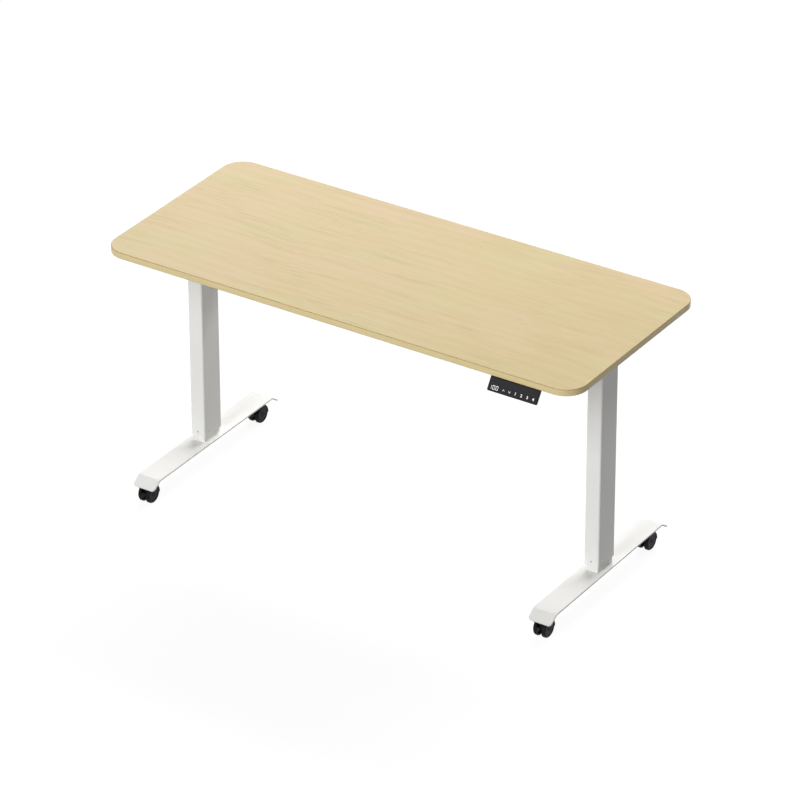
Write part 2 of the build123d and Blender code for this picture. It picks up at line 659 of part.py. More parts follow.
def make_foot_bolts(name, side):
    """Bolts from under the foot plate into the plate in the inner tube."""
    x = side * COLUMN_X
    with BuildPart() as bolts:
        with BuildSketch(level(x, 0, FOOT_BOTTOM_Z - FOOT_BOLT_HEAD)):
            with Locations(*corners(FOOT_BOLT_X, FOOT_BOLT_Y)):
                RegularPolygon(FOOT_BOLT_HEAD_R, 6)
        extrude(amount=FOOT_BOLT_HEAD)
        with BuildSketch(level(x, 0, FOOT_BOTTOM_Z)):
            with Locations(*corners(FOOT_BOLT_X, FOOT_BOLT_Y)):
                Circle(FOOT_BOLT_R)
        extrude(amount=FOOT_THICKNESS + END_PLATE)
    save(bolts, name)


# ---------------------------------------------------------------- casters
def make_caster_stems(name, side):
    """Stems welded under a foot plate, one at each end, that the hoods swivel on."""
    points = [(0, end * CASTER_Y) for end in ENDS.values()]
    with BuildPart() as stems:
        with BuildSketch(level(side * COLUMN_X, 0, STEM_SEAT_Z)):
            with Locations(*points):
                Circle(STEM_PLATE_R)
        extrude(amount=STEM_PLATE)
        with BuildSketch(level(side * COLUMN_X, 0, STEM_SEAT_Z)):
            with Locations(*points):
                Circle(STEM_R)
        extrude(amount=-STEM_LENGTH)
    save(stems, name)


def make_caster_hood(name, x, axle_y):
    """Moulded hood: a web between the wheels, a crowned guard round them and the stem's boss."""
    stem_y = axle_y + CASTER_TRAIL
    collar_top = STEM_SEAT_Z - SWIVEL_GAP
    stem_end = STEM_SEAT_Z - STEM_LENGTH
    sweep_angle = HOOD_BACK_ANGLE - HOOD_FRONT_ANGLE
    inner_r = WHEEL_R + HOOD_GAP
    web_r = inner_r + HOOD_SHELL / 2
    tilt = radians(HOOD_FRONT_ANGLE)
    centre = (x, axle_y + DESK_Y, WHEEL_R)
    with BuildPart() as hood:
        with BuildSketch(Plane(origin=centre, x_dir=(1, 0, 0), z_dir=(0, -sin(tilt), cos(tilt)))):
            with BuildLine():
                Polyline(
                    (0, HOOD_R),
                    (0, inner_r),
                    (HOOD_FLAT_HALF + HOOD_SHELL, inner_r),
                    (WHEEL_OUTER, HOOD_R - HOOD_CROWN - HOOD_SHELL),
                    (WHEEL_OUTER, HOOD_R - HOOD_CROWN),
                )
                TangentArc((HOOD_FLAT_HALF, HOOD_R), (WHEEL_OUTER, HOOD_R - HOOD_CROWN), tangent=(1, 0))
                Line((HOOD_FLAT_HALF, HOOD_R), (0, HOOD_R))
            make_face()
            mirror(about=Plane.YZ)
        revolve(axis=Axis(centre, (1, 0, 0)), revolution_arc=sweep_angle)
        with BuildSketch(across(x - HOOD_WEB_HALF, axle_y, WHEEL_R)):
            with BuildLine():
                arc = CenterArc((0, 0), web_r, HOOD_FRONT_ANGLE, sweep_angle)
                Polyline(arc @ 0, (0, 0), arc @ 1)
            make_face()
            Circle(HUB_BOSS_R)
        extrude(amount=2 * HOOD_WEB_HALF)
        with BuildSketch(level(x, stem_y, stem_end - STEM_FLOOR)):
            Circle(STEM_BOSS_R)
        extrude(amount=collar_top - stem_end + STEM_FLOOR)
        with BuildSketch(level(x, stem_y, collar_top - STEM_COLLAR)):
            Circle(STEM_COLLAR_R)
        extrude(amount=STEM_COLLAR)
        with BuildSketch(level(x, stem_y, collar_top)):
            Circle(STEM_R + RUNNING_FIT)
        extrude(amount=-STEM_LENGTH, mode=Mode.SUBTRACT)
        with BuildSketch(across(x - HOOD_WEB_HALF, axle_y, WHEEL_R)):
            Circle(AXLE_R + SCREW_PLAY / 2)
        extrude(amount=2 * HOOD_WEB_HALF, mode=Mode.SUBTRACT)
    save(hood, name)


def make_caster_axle(name, x, axle_y):
    """Steel pin through the hood that carries both wheels."""
    with BuildPart() as axle:
        with BuildSketch(across(x - AXLE_HALF, axle_y, WHEEL_R)):
            Circle(AXLE_R)
        extrude(amount=2 * AXLE_HALF)
    save(axle, name)


def make_caster_wheel(name, x, axle_y, side):
    """Moulded wheel, domed outside and hollow on the side that faces the hood."""
    bore_end = AXLE_HALF + SWIVEL_GAP
    tread_end = (WHEEL_INNER + WHEEL_OUTER) / 2
    cavity = WHEEL_OUTER - WHEEL_DISH - WHEEL_DISC
    with BuildPart() as wheel:
        with BuildSketch(facing(x, axle_y, WHEEL_R, side)):
            with BuildLine():
                Polyline(
                    (bore_end, 0),
                    (bore_end, AXLE_R + RUNNING_FIT),
                    (WHEEL_HUB_INNER, AXLE_R + RUNNING_FIT),
                    (WHEEL_HUB_INNER, WHEEL_HUB_R),
                    (cavity, WHEEL_HUB_R),
                    (cavity, WHEEL_R - WHEEL_RIM),
                    (WHEEL_INNER, WHEEL_R - WHEEL_RIM),
                    (WHEEL_INNER, WHEEL_R),
                    (tread_end, WHEEL_R),
                )
                RadiusArc((tread_end, WHEEL_R), (WHEEL_OUTER, WHEEL_SHOULDER_R), WHEEL_DOME_R)
                Polyline(
                    (WHEEL_OUTER, WHEEL_SHOULDER_R),
                    (WHEEL_OUTER - WHEEL_DISH, WHEEL_SHOULDER_R - WHEEL_DISH),
                    (WHEEL_OUTER - WHEEL_DISH, WHEEL_HUB_R + WHEEL_DISH),
                    (WHEEL_OUTER, WHEEL_HUB_R),
                    (WHEEL_OUTER, 0),
                    (bore_end, 0),
                )
            make_face()
        revolve(axis=Axis((x, axle_y + DESK_Y, WHEEL_R), (1, 0, 0)))
    save(wheel, name)


# ---------------------------------------------------------------- handset
def handset_profile():
    """Corners of the bezel's side, from the top of the face, as (y, z) seen from +X."""
    top = (-TOP_DEPTH / 2 - HANDSET_STEP, UNDERSIDE_Z)
    low = (top[0] - HANDSET_FACE * TILT_SIN, top[1] - HANDSET_FACE * TILT_COS)
    lip = (low[0] + HANDSET_BEZEL * TILT_COS, low[1] - HANDSET_BEZEL * TILT_SIN)
    return [top, low, lip, (top[0] + HANDSET_BEZEL / TILT_COS, UNDERSIDE_Z)]


def core_profile():
    """Corners of the wedge behind the bezel, which it enters by half its thickness."""
    top, low, lip = handset_profile()[:3]
    start = (top[0] + HANDSET_BEZEL / TILT_COS / 2, UNDERSIDE_Z)
    inner_y = (low[0] + lip[0]) / 2 + HANDSET_CORNER_R * TILT_SIN
    inner_z = (low[1] + lip[1]) / 2 + HANDSET_CORNER_R * TILT_COS
    back = top[0] + HANDSET_DEPTH
    return [start, (inner_y, inner_z), (back, UNDERSIDE_Z - HANDSET_BACK), (back, UNDERSIDE_Z)]


def face_plane(along, up, out=0.0):
    """Plane on the handset's face: along from its left end, up the slope from its middle."""
    top, low = handset_profile()[:2]
    y = (top[0] + low[0]) / 2 + up * TILT_SIN - out * TILT_COS
    z = (top[1] + low[1]) / 2 + up * TILT_COS + out * TILT_SIN
    origin = (HANDSET_LEFT_X + along, y + DESK_Y, z)
    return Plane(origin=origin, x_dir=(1, 0, 0), z_dir=(0, -TILT_COS, TILT_SIN))


def key_offsets():
    """Centre of each key from the handset's left end."""
    return [KEY_FIRST + i * KEY_PITCH for i in range(KEY_COUNT)]


def make_handset_body():
    """Sloped bezel under the front edge, pocketed for the face panel, on a wedge with two screw ears."""
    middle = HANDSET_WIDTH / 2
    back = -TOP_DEPTH / 2 - HANDSET_STEP + HANDSET_DEPTH
    with BuildPart() as body:
        with BuildSketch(across(HANDSET_LEFT_X, 0, 0)):
            with BuildLine():
                Polyline(*handset_profile(), close=True)
            make_face()
        extrude(amount=HANDSET_WIDTH)
        fillet(body.edges().filter_by(lambda edge: abs(edge.length - HANDSET_BEZEL) < MEASURE), HANDSET_CORNER_R)
        rims = body.faces().filter_by(face_plane(0, 0)).edges()
        fillet(rims.filter_by(lambda edge: edge.center().Z < UNDERSIDE_Z - MEASURE), HANDSET_RIM_R)
        with BuildSketch(across(HANDSET_LEFT_X + HANDSET_INSET, 0, 0)):
            with BuildLine():
                Polyline(*core_profile(), close=True)
            make_face()
        extrude(amount=HANDSET_WIDTH - 2 * HANDSET_INSET)
        core_back = body.faces().sort_by(Axis.Y)[-1].edges()
        chamfer(core_back.filter_by(lambda edge: edge.center().Z < UNDERSIDE_Z - MEASURE), HANDSET_CHAMFER)
        with BuildSketch(face_plane(middle, 0)):
            rounded(HANDSET_WIDTH - 2 * PANEL_MARGIN, HANDSET_FACE - 2 * PANEL_MARGIN, PANEL_R)
        extrude(amount=-PANEL_THICKNESS, mode=Mode.SUBTRACT)
        well_width = KEY_COUNT * KEY_PITCH
        well_middle = KEY_FIRST + (KEY_COUNT - 1) * KEY_PITCH / 2
        with BuildSketch(face_plane(well_middle, -KEY_BELOW, -PANEL_THICKNESS)):
            rounded(well_width, KEY_HEIGHT + 2 * (KEY_LIP + KEY_PLAY), PANEL_R)
        extrude(amount=-KEY_WELL, mode=Mode.SUBTRACT)
        ear_y = handset_screw_points()[0][1]
        with BuildSketch(level(0, 0, UNDERSIDE_Z - EAR_THICKNESS)):
            for x, _ in handset_screw_points():
                with Locations((x, back + EAR_LENGTH / 2)):
                    Rectangle(EAR_WIDTH, EAR_LENGTH + 2 * HANDSET_CHAMFER)
                with Locations((x, ear_y)):
                    Circle(SCREW_R + SCREW_PLAY, mode=Mode.SUBTRACT)
        extrude(amount=EAR_THICKNESS)
        with BuildSketch(facing(HANDSET_LEFT_X + middle, back, UNDERSIDE_Z - HANDSET_BACK / 2)):
            Rectangle(PORT_WIDTH, PORT_HEIGHT)
        extrude(amount=PORT_DEPTH, mode=Mode.SUBTRACT)
    save(body, "handset_body")


def make_handset_face():
    """Smoked face panel: recessed over the display and cut out for the keys."""
    middle = HANDSET_WIDTH / 2
    width = HANDSET_WIDTH - 2 * (PANEL_MARGIN + PANEL_PLAY)
    height = HANDSET_FACE - 2 * (PANEL_MARGIN + PANEL_PLAY)
    with BuildPart() as panel:
        with BuildSketch(face_plane(middle, 0, -PANEL_THICKNESS)):
            rounded(width, height, PANEL_R)
            with Locations(*[(along - middle, -KEY_BELOW) for along in key_offsets()]):
                tube_core(KEY_WIDTH, KEY_HEIGHT, KEY_R, -KEY_PLAY, mode=Mode.SUBTRACT)
        extrude(amount=PANEL_THICKNESS)
        with BuildSketch(face_plane(DISPLAY_X, -KEY_BELOW)):
            rounded(DISPLAY_WIDTH, DISPLAY_HEIGHT, KEY_R)
        extrude(amount=-DISPLAY_RECESS, mode=Mode.SUBTRACT)
    save(panel, "handset_face")


def make_key(name, along):
    """Push key, kept behind the panel by a flange round its foot."""
    with BuildPart() as key:
        with BuildSketch(face_plane(along, -KEY_BELOW, -PANEL_THICKNESS - KEY_PLAY / 2)):
            rounded(KEY_WIDTH, KEY_HEIGHT, KEY_R)
        extrude(amount=PANEL_THICKNESS + KEY_PLAY / 2 + KEY_PROUD)
        with BuildSketch(face_plane(along, -KEY_BELOW, -PANEL_THICKNESS - KEY_PLAY / 2 - KEY_FLANGE)):
            rounded(KEY_WIDTH + 2 * KEY_LIP, KEY_HEIGHT + 2 * KEY_LIP, KEY_R)
        extrude(amount=KEY_FLANGE)
    save(key, name)


# ---------------------------------------------------------------- control box
def socket_places():
    """Sockets on the box's ends: (end, y from the box's middle, width, height)."""
    rows = [(1, i * SOCKET_PITCH, SOCKET_WIDTH, SOCKET_HEIGHT) for i in (-1, 0, 1)]
    return rows + [(-1, 0, INLET_WIDTH, INLET_HEIGHT)]


def make_control_box():
    """Drive electronics' box between the rails: mounting plate, cover and sockets."""
    floor_z = UNDERSIDE_Z - CONTROL_HEIGHT
    middle_z = UNDERSIDE_Z - CONTROL_PLATE - (CONTROL_HEIGHT - CONTROL_PLATE) / 2
    with BuildPart() as plate:
        with BuildSketch(level(0, 0, UNDERSIDE_Z - CONTROL_PLATE)):
            with Locations((CONTROL_X, 0)):
                rounded(CONTROL_WIDTH + 2 * CONTROL_EAR, CONTROL_DEPTH, CONTROL_R)
            with Locations(*control_screw_points()):
                Circle(SCREW_R + SCREW_PLAY, mode=Mode.SUBTRACT)
        extrude(amount=CONTROL_PLATE)
    save(plate, "control_box_plate")

    with BuildPart() as cover:
        with BuildSketch(level(CONTROL_X, 0, floor_z)):
            rounded(CONTROL_WIDTH, CONTROL_DEPTH, CONTROL_R)
        extrude(amount=CONTROL_HEIGHT - CONTROL_PLATE)
        chamfer(cover.faces().sort_by(Axis.Z)[0].edges(), CONTROL_CHAMFER)
        with BuildSketch(level(CONTROL_X, 0, floor_z + CONTROL_WALL)):
            tube_core(CONTROL_WIDTH, CONTROL_DEPTH, CONTROL_R, CONTROL_WALL)
        extrude(amount=CONTROL_HEIGHT - CONTROL_PLATE - CONTROL_WALL, mode=Mode.SUBTRACT)
        for end, y, width, height in socket_places():
            with BuildSketch(across(CONTROL_X + end * CONTROL_WIDTH / 2, y, middle_z)):
                Rectangle(width, height)
            extrude(amount=-end * 2 * CONTROL_WALL, mode=Mode.SUBTRACT)
        with BuildSketch(level(CONTROL_X, 0, floor_z)):
            with GridLocations(VENT_PITCH, 1, VENT_COUNT, 1):
                Rectangle(VENT_WIDTH, VENT_LENGTH)
        extrude(amount=CONTROL_WALL, mode=Mode.SUBTRACT)
    save(cover, "control_box_cover")

    with BuildPart() as sockets:
        for end, y, width, height in socket_places():
            with BuildSketch(across(CONTROL_X + end * CONTROL_WIDTH / 2, y, middle_z)):
                Rectangle(width, height)
            extrude(amount=-end * SOCKET_DEPTH)
            with BuildSketch(across(CONTROL_X + end * CONTROL_WIDTH / 2, y, middle_z)):
                Rectangle(width - 2 * SOCKET_WALL, height - 2 * SOCKET_WALL)
            extrude(amount=-end * (SOCKET_DEPTH - SOCKET_WALL), mode=Mode.SUBTRACT)
    save(sockets, "control_box_sockets")


# ---------------------------------------------------------------- assembly
def make_leg(place, side):
    """Everything in and on one column and its foot."""
    make_side_bracket(f"{place}_side_bracket", side)
    make_outer_column(f"{place}_outer_column", side)
    make_inner_column(f"{place}_inner_column", side)
    make_lower_glide(f"{place}_lower_glide", side)
    make_upper_glide(f"{place}_upper_glide", side)
    make_gearbox(f"{place}_gearbox", side)
    make_motor(f"{place}_motor", side)
    make_spindle(f"{place}_spindle", side)
    make_spindle_nut(f"{place}_spindle_nut", side)
    make_foot_plate(f"{place}_foot_plate", side)
    make_foot_bolts(f"{place}_foot_bolts", side)
    make_caster_stems(f"{place}_caster_stems", side)
    for end_name, end in ENDS.items():
        corner = f"{end_name}_{place}"
        x = side * COLUMN_X
        axle_y = end * CASTER_Y - CASTER_TRAIL
        make_caster_hood(f"{corner}_caster_hood", x, axle_y)
        make_caster_axle(f"{corner}_caster_axle", x, axle_y)
        make_caster_wheel(f"{corner}_wheel_left", x, axle_y, -1)
        make_caster_wheel(f"{corner}_wheel_right", x, axle_y, 1)


make_desktop()
make_rail("front_rail", ENDS["front"])
make_rail("rear_rail", ENDS["rear"])
make_frame_bolts()
for place_name, place_side in SIDES.items():
    make_leg(place_name, place_side)
make_spindle_bearings()
make_motor_caps()
make_glide_screws()
make_handset_body()
make_handset_face()
for key_name, key_along in zip(("key_up", "key_down", "key_1", "key_2", "key_3", "key_4"), key_offsets()):
    make_key(key_name, key_along)
make_control_box()
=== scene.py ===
"""The finished look of an electric height adjustable desk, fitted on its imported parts.

Metres and +Z up. The front of the desk faces -Y and the floor is at z = 0.
"""

import logging
import math
from collections.abc import Callable, Iterable, Sequence
from dataclasses import dataclass, field
from enum import Enum
from typing import Any

import bmesh
import bpy
from mathutils import Matrix, Vector


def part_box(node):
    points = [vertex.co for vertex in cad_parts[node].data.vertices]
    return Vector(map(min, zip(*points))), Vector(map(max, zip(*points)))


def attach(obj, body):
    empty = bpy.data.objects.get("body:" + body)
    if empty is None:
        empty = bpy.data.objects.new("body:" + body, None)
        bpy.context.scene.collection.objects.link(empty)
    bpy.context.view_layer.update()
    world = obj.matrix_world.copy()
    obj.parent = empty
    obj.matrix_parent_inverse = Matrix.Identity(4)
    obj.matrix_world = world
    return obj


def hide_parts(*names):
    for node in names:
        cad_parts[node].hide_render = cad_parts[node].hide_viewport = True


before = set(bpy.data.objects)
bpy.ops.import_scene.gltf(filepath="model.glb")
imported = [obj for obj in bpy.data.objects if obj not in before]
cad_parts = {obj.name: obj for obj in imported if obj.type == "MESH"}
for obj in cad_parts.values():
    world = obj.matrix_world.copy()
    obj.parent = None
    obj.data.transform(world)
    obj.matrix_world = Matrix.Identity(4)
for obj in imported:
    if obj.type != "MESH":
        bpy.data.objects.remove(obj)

LOG = logging.getLogger("desk")
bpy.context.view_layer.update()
MM = 0.001
CORNERS = ("front_left", "front_right", "rear_left", "rear_right")


# ---------------------------------------------------------------- nodes and colours
def srgb(code: str) -> tuple[float, float, float, float]:
    """Turn an sRGB hex colour into Blender's linear one.

    Args:
        code: The colour as #RRGGBB.

    Returns:
        Linear red, green, blue and an alpha of 1.
    """
    parts = [int(code[i : i + 2], 16) / 255 for i in (1, 3, 5)]
    red, green, blue = (c / 12.92 if c <= 0.04045 else ((c + 0.055) / 1.055) ** 2.4 for c in parts)
    return red, green, blue, 1.0


def add_node(
    tree: bpy.types.NodeTree,
    kind: str,
    inputs: dict[Any, Any] | None = None,
    **settings: Any,
) -> Any:
    """Add a shader node with its settings, values and links.

    Args:
        tree: The node tree it goes into.
        kind: The node's type, such as ShaderNodeMix.
        inputs: Values or sockets to link, by the input's name or number.
        **settings: The node's own properties.

    Returns:
        The new node.
    """
    node = tree.nodes.new(kind)
    for name, value in settings.items():
        setattr(node, name, value)
    for key, value in (inputs or {}).items():
        if isinstance(value, bpy.types.NodeSocket):
            tree.links.new(value, node.inputs[key])
        else:
            node.inputs[key].default_value = value
    return node


def per_pattern(*sizes_mm: float) -> tuple[float, ...]:
    """Mapping scales that make one unit of a pattern as long as each size in millimetres."""
    return tuple(1.0 / (size * MM) for size in sizes_mm)


def drawn_noise(
    tree: bpy.types.NodeTree,
    place: Any,
    sizes_mm: Sequence[float],
    detail: float = 1.0,
    offset: float = 0.0,
) -> Any:
    """Noise drawn out to given sizes along X, Y and, when there are three sizes, Z.

    Args:
        tree: The node tree it goes into.
        place: The coordinates' socket.
        sizes_mm: Length of one unit of the pattern along each axis, in millimetres.
        detail: Octaves of finer noise.
        offset: Shift that gives the same noise another draw.

    Returns:
        The noise's value socket.
    """
    scale = (*per_pattern(*sizes_mm), 1.0)[:3]
    laid = add_node(tree, "ShaderNodeMapping", {0: place, "Location": (offset, offset, 0.0), "Scale": scale})
    values = {"Vector": laid.outputs[0], "Scale": 1.0, "Detail": detail}
    return add_node(tree, "ShaderNodeTexNoise", values).outputs[0]


def mixed_colour(tree: bpy.types.NodeTree, share: Any, first: Any, second: Any) -> Any:
    """Mix two colours.

    Args:
        tree: The node tree it goes into.
        share: The socket that says how much of the second colour shows.
        first: The first colour, or its socket.
        second: The second colour, or its socket.

    Returns:
        The mixed colour's socket.
    """
    return add_node(tree, "ShaderNodeMix", {0: share, 6: first, 7: second}, data_type="RGBA").outputs[2]


def even_noise(tree: bpy.types.NodeTree, place: Any, size_mm: float, detail: float) -> Any:
    """Noise of one size in every direction.

    Args:
        tree: The node tree it goes into.
        place: The coordinates' socket.
        size_mm: Length of one unit of the pattern, in millimetres.
        detail: Octaves of finer noise.

    Returns:
        The noise's value socket.
    """
    values = {"Vector": place, "Scale": 1.0 / (size_mm * MM), "Detail": detail}
    return add_node(tree, "ShaderNodeTexNoise", values).outputs[0]


def blank_material(name: str, **surface: Any) -> tuple[bpy.types.Material, Any, Any]:
    """Start a material with its shader and the piece's own coordinates.

    Args:
        name: The material's name.
        **surface: The shader's constant values, with spaces as underscores.

    Returns:
        The material, its shader node and the Object coordinates' socket.
    """
    material = bpy.data.materials.new(name)
    material.use_nodes = True
    tree = material.node_tree
    tree.nodes.clear()
    values = {key.replace("_", " "): value for key, value in surface.items()}
    shader = add_node(tree, "ShaderNodeBsdfPrincipled", values)
    add_node(tree, "ShaderNodeOutputMaterial", {"Surface": shader.outputs[0]})
    return material, shader, add_node(tree, "ShaderNodeTexCoord").outputs["Object"]


# ---------------------------------------------------------------- finishes
@dataclass(frozen=True)
class OakLaminate:
    """Printed oak decor under a satin melamine skin: pale, with grain that runs along the board."""

    name: str = "oak_melamine"
    # left and right are painted light: the left end is lighter and the right end darker, a painted sheen and
    # fall-off of the lamps' light across the board
    left: str = "#DBC8A3"
    right: str = "#D2BF93"
    dark_grain: str = "#BFAA7E"
    green_cast: str = "#D3C99C"
    pink_cast: str = "#DDC4A4"
    grain_mm: tuple[float, float] = (120.0, 4.6)  # length and width of a streak, drawn twice as wide as real
    pore_mm: tuple[float, float] = (30.0, 2.4)  # short open pores, drawn twice as wide as real
    cluster_mm: tuple[float, float] = (230.0, 48.0)  # streaks and pores crowd together in patches this big
    figure_mm: tuple[float, float] = (1300.0, 95.0)  # slow arches of the flat-sawn figure
    cast_mm: tuple[float, float] = (240.0, 110.0)
    board_half_mm: float = 700.0

    def material(self) -> bpy.types.Material:
        """Build the laminate."""
        made, shader, place = blank_material(self.name, Roughness=0.46, IOR=1.5)
        tree = made.node_tree
        drift = add_node(tree, "ShaderNodeTexNoise", {"Vector": place, "Scale": 2.4, "Detail": 1.0})
        shift = add_node(
            tree, "ShaderNodeMath", {0: drift.outputs[0], 1: 0.05, 2: -0.025}, operation="MULTIPLY_ADD"
        )
        wander = add_node(tree, "ShaderNodeCombineXYZ", {"Y": shift.outputs[0]})
        bent = add_node(
            tree, "ShaderNodeVectorMath", {0: place, 1: wander.outputs[0]}, operation="ADD"
        ).outputs[0]

        across = add_node(tree, "ShaderNodeSeparateXYZ", {0: place}).outputs["X"]
        half = self.board_half_mm * MM
        # Painted light: the colour runs from the lighter left end to the darker right end across the board
        share = add_node(tree, "ShaderNodeMapRange", {0: across, 1: -half, 2: half})
        base = mixed_colour(tree, share.outputs[0], srgb(self.left), srgb(self.right))

        for colour, offset, weight in ((self.green_cast, 3.0, 0.6), (self.pink_cast, 11.0, 0.55)):
            patch = drawn_noise(tree, bent, self.cast_mm, 2.0, offset)
            mask = add_node(tree, "ShaderNodeMapRange", {0: patch, 1: 0.52, 2: 0.7, 4: weight})
            base = mixed_colour(tree, mask.outputs[0], base, srgb(colour))

        figure_place = add_node(
            tree, "ShaderNodeMapping", {0: bent, "Scale": (*per_pattern(*self.figure_mm), 1.0)}
        )
        figure = add_node(
            tree,
            "ShaderNodeTexWave",
            {
                "Vector": figure_place.outputs[0],
                "Scale": 0.9,
                "Distortion": 5.0,
                "Detail": 2.0,
                "Detail Scale": 1.2,
            },
            bands_direction="Y",
        )
        broad = add_node(tree, "ShaderNodeMath", {0: figure.outputs[1], 1: 0.1}, operation="MULTIPLY")
        crowd = drawn_noise(tree, bent, self.cluster_mm, 1.0, 7.0)
        gather = add_node(tree, "ShaderNodeMapRange", {0: crowd, 1: 0.4, 2: 0.62, 3: 0.25, 4: 1.0})
        grain = drawn_noise(tree, bent, self.grain_mm, 4.0)
        streak = add_node(tree, "ShaderNodeMapRange", {0: grain, 1: 0.46, 2: 0.7, 4: 0.5})
        pores = drawn_noise(tree, bent, self.pore_mm)
        dash = add_node(tree, "ShaderNodeMapRange", {0: pores, 1: 0.58, 2: 0.74, 4: 0.5})
        marks = add_node(
            tree, "ShaderNodeMath", {0: streak.outputs[0], 1: dash.outputs[0]}, operation="MAXIMUM"
        )
        marks = add_node(
            tree,
            "ShaderNodeMath",
            {0: marks.outputs[0], 1: gather.outputs[0], 2: broad.outputs[0]},
            operation="MULTIPLY_ADD",
        )
        grained = mixed_colour(tree, marks.outputs[0], base, srgb(self.dark_grain))
        tree.links.new(grained, shader.inputs["Base Color"])
        relief = add_node(
            tree,
            "ShaderNodeBump",
            {"Strength": 0.25, "Distance": 0.00012, "Height": dash.outputs[0]},
            invert=True,
        )
        tree.links.new(relief.outputs[0], shader.inputs["Normal"])
        return made


@dataclass(frozen=True)
class EdgeBanding:
    """Solid-coloured ABS strip, hot-glued and trimmed: satin, with faint printed lines along its length."""

    name: str = "abs_edge_band"
    face: str = "#E6D29D"
    line: str = "#D3BF88"
    line_mm: float = 1.6
    run_mm: float = 160.0

    def material(self) -> bpy.types.Material:
        """Build the banding."""
        made, shader, place = blank_material(self.name, Roughness=0.42, IOR=1.53)
        tree = made.node_tree
        scale = per_pattern(self.run_mm, self.run_mm, self.line_mm)
        laid = add_node(tree, "ShaderNodeMapping", {0: place, "Scale": scale})
        lines = add_node(tree, "ShaderNodeTexNoise", {"Vector": laid.outputs[0], "Scale": 1.0, "Detail": 3.0})
        mask = add_node(tree, "ShaderNodeMapRange", {0: lines.outputs[0], 1: 0.45, 2: 0.72, 4: 0.6})
        tint = mixed_colour(tree, mask.outputs[0], srgb(self.face), srgb(self.line))
        tree.links.new(tint, shader.inputs["Base Color"])
        relief = add_node(
            tree, "ShaderNodeBump", {"Strength": 0.2, "Distance": 0.0001, "Height": lines.outputs[0]}
        )
        tree.links.new(relief.outputs[0], shader.inputs["Normal"])
        return made


@dataclass(frozen=True)
class PowderCoat:
    """Polyester powder baked on steel: a satin white skin with a faint orange peel and no grain."""

    name: str = "powder_coat_white"
    colour: str = "#F7F7F5"
    shade: str = "#F2F2F0"
    peel_mm: float = 1.6  # real peel is about 0.6 mm, drawn coarser so that it shows close up
    cloud_mm: float = 90.0
    roughness: float = 0.4

    def material(self) -> bpy.types.Material:
        """Build the coat."""
        made, shader, place = blank_material(self.name, IOR=1.5)
        tree = made.node_tree
        cloud = even_noise(tree, place, self.cloud_mm, 2.0)
        tint = mixed_colour(tree, cloud, srgb(self.colour), srgb(self.shade))
        peel = even_noise(tree, place, self.peel_mm, 1.0)
        gloss = add_node(
            tree,
            "ShaderNodeMapRange",
            {0: peel, 3: self.roughness - 0.05, 4: self.roughness + 0.05},
        )
        relief = add_node(tree, "ShaderNodeBump", {"Strength": 0.22, "Distance": 0.00008, "Height": peel})
        tree.links.new(tint, shader.inputs["Base Color"])
        tree.links.new(gloss.outputs[0], shader.inputs["Roughness"])
        tree.links.new(relief.outputs[0], shader.inputs["Normal"])
        return made


@dataclass(frozen=True)
class BareMetal:
    """Uncoated metal: plated, ground or cast, told apart by its colour, its scratches and its pits."""

    name: str
    bright: str
    dull: str
    roughness: float
    mark_mm: tuple[float, float, float]  # length, width and depth of the marks along X, Y and Z
    relief: float = 0.15

    def material(self) -> bpy.types.Material:
        """Build the metal."""
        made, shader, place = blank_material(self.name, Metallic=1.0)
        tree = made.node_tree
        laid = add_node(tree, "ShaderNodeMapping", {0: place, "Scale": per_pattern(*self.mark_mm)})
        marks = add_node(tree, "ShaderNodeTexNoise", {"Vector": laid.outputs[0], "Scale": 1.0, "Detail": 4.0})
        tint = mixed_colour(tree, marks.outputs[0], srgb(self.bright), srgb(self.dull))
        gloss = add_node(
            tree,
            "ShaderNodeMapRange",
            {0: marks.outputs[0], 3: self.roughness - 0.08, 4: self.roughness + 0.1},
        )
        relief = add_node(
            tree, "ShaderNodeBump", {"Strength": self.relief, "Distance": 0.0001, "Height": marks.outputs[0]}
        )
        tree.links.new(tint, shader.inputs["Base Color"])
        tree.links.new(gloss.outputs[0], shader.inputs["Roughness"])
        tree.links.new(relief.outputs[0], shader.inputs["Normal"])
        return made


@dataclass(frozen=True)
class MouldedPlastic:
    """Injection-moulded nylon, ABS or acetal: one colour with the mould's spark-eroded grain."""

    name: str
    colour: str
    worn: str
    roughness: float
    grain_mm: float = 0.9  # spark erosion is about 0.1 mm, drawn coarser so that it shows close up
    rub_mm: float = 14.0  # patches that hands and dust have polished
    specular: float = 0.5
    relief: float = 0.2

    def material(self) -> bpy.types.Material:
        """Build the plastic."""
        made, shader, place = blank_material(self.name, IOR=1.5, Specular_IOR_Level=self.specular)
        tree = made.node_tree
        grain = even_noise(tree, place, self.grain_mm, 2.0)
        rub = even_noise(tree, place, self.rub_mm, 3.0)
        mask = add_node(tree, "ShaderNodeMapRange", {0: rub, 1: 0.45, 2: 0.8})
        tint = mixed_colour(tree, mask.outputs[0], srgb(self.colour), srgb(self.worn))
        gloss = add_node(
            tree, "ShaderNodeMapRange", {0: rub, 3: self.roughness + 0.06, 4: self.roughness - 0.06}
        )
        relief = add_node(
            tree, "ShaderNodeBump", {"Strength": self.relief, "Distance": 0.0001, "Height": grain}
        )
        tree.links.new(tint, shader.inputs["Base Color"])
        tree.links.new(gloss.outputs[0], shader.inputs["Roughness"])
        tree.links.new(relief.outputs[0], shader.inputs["Normal"])
        return made


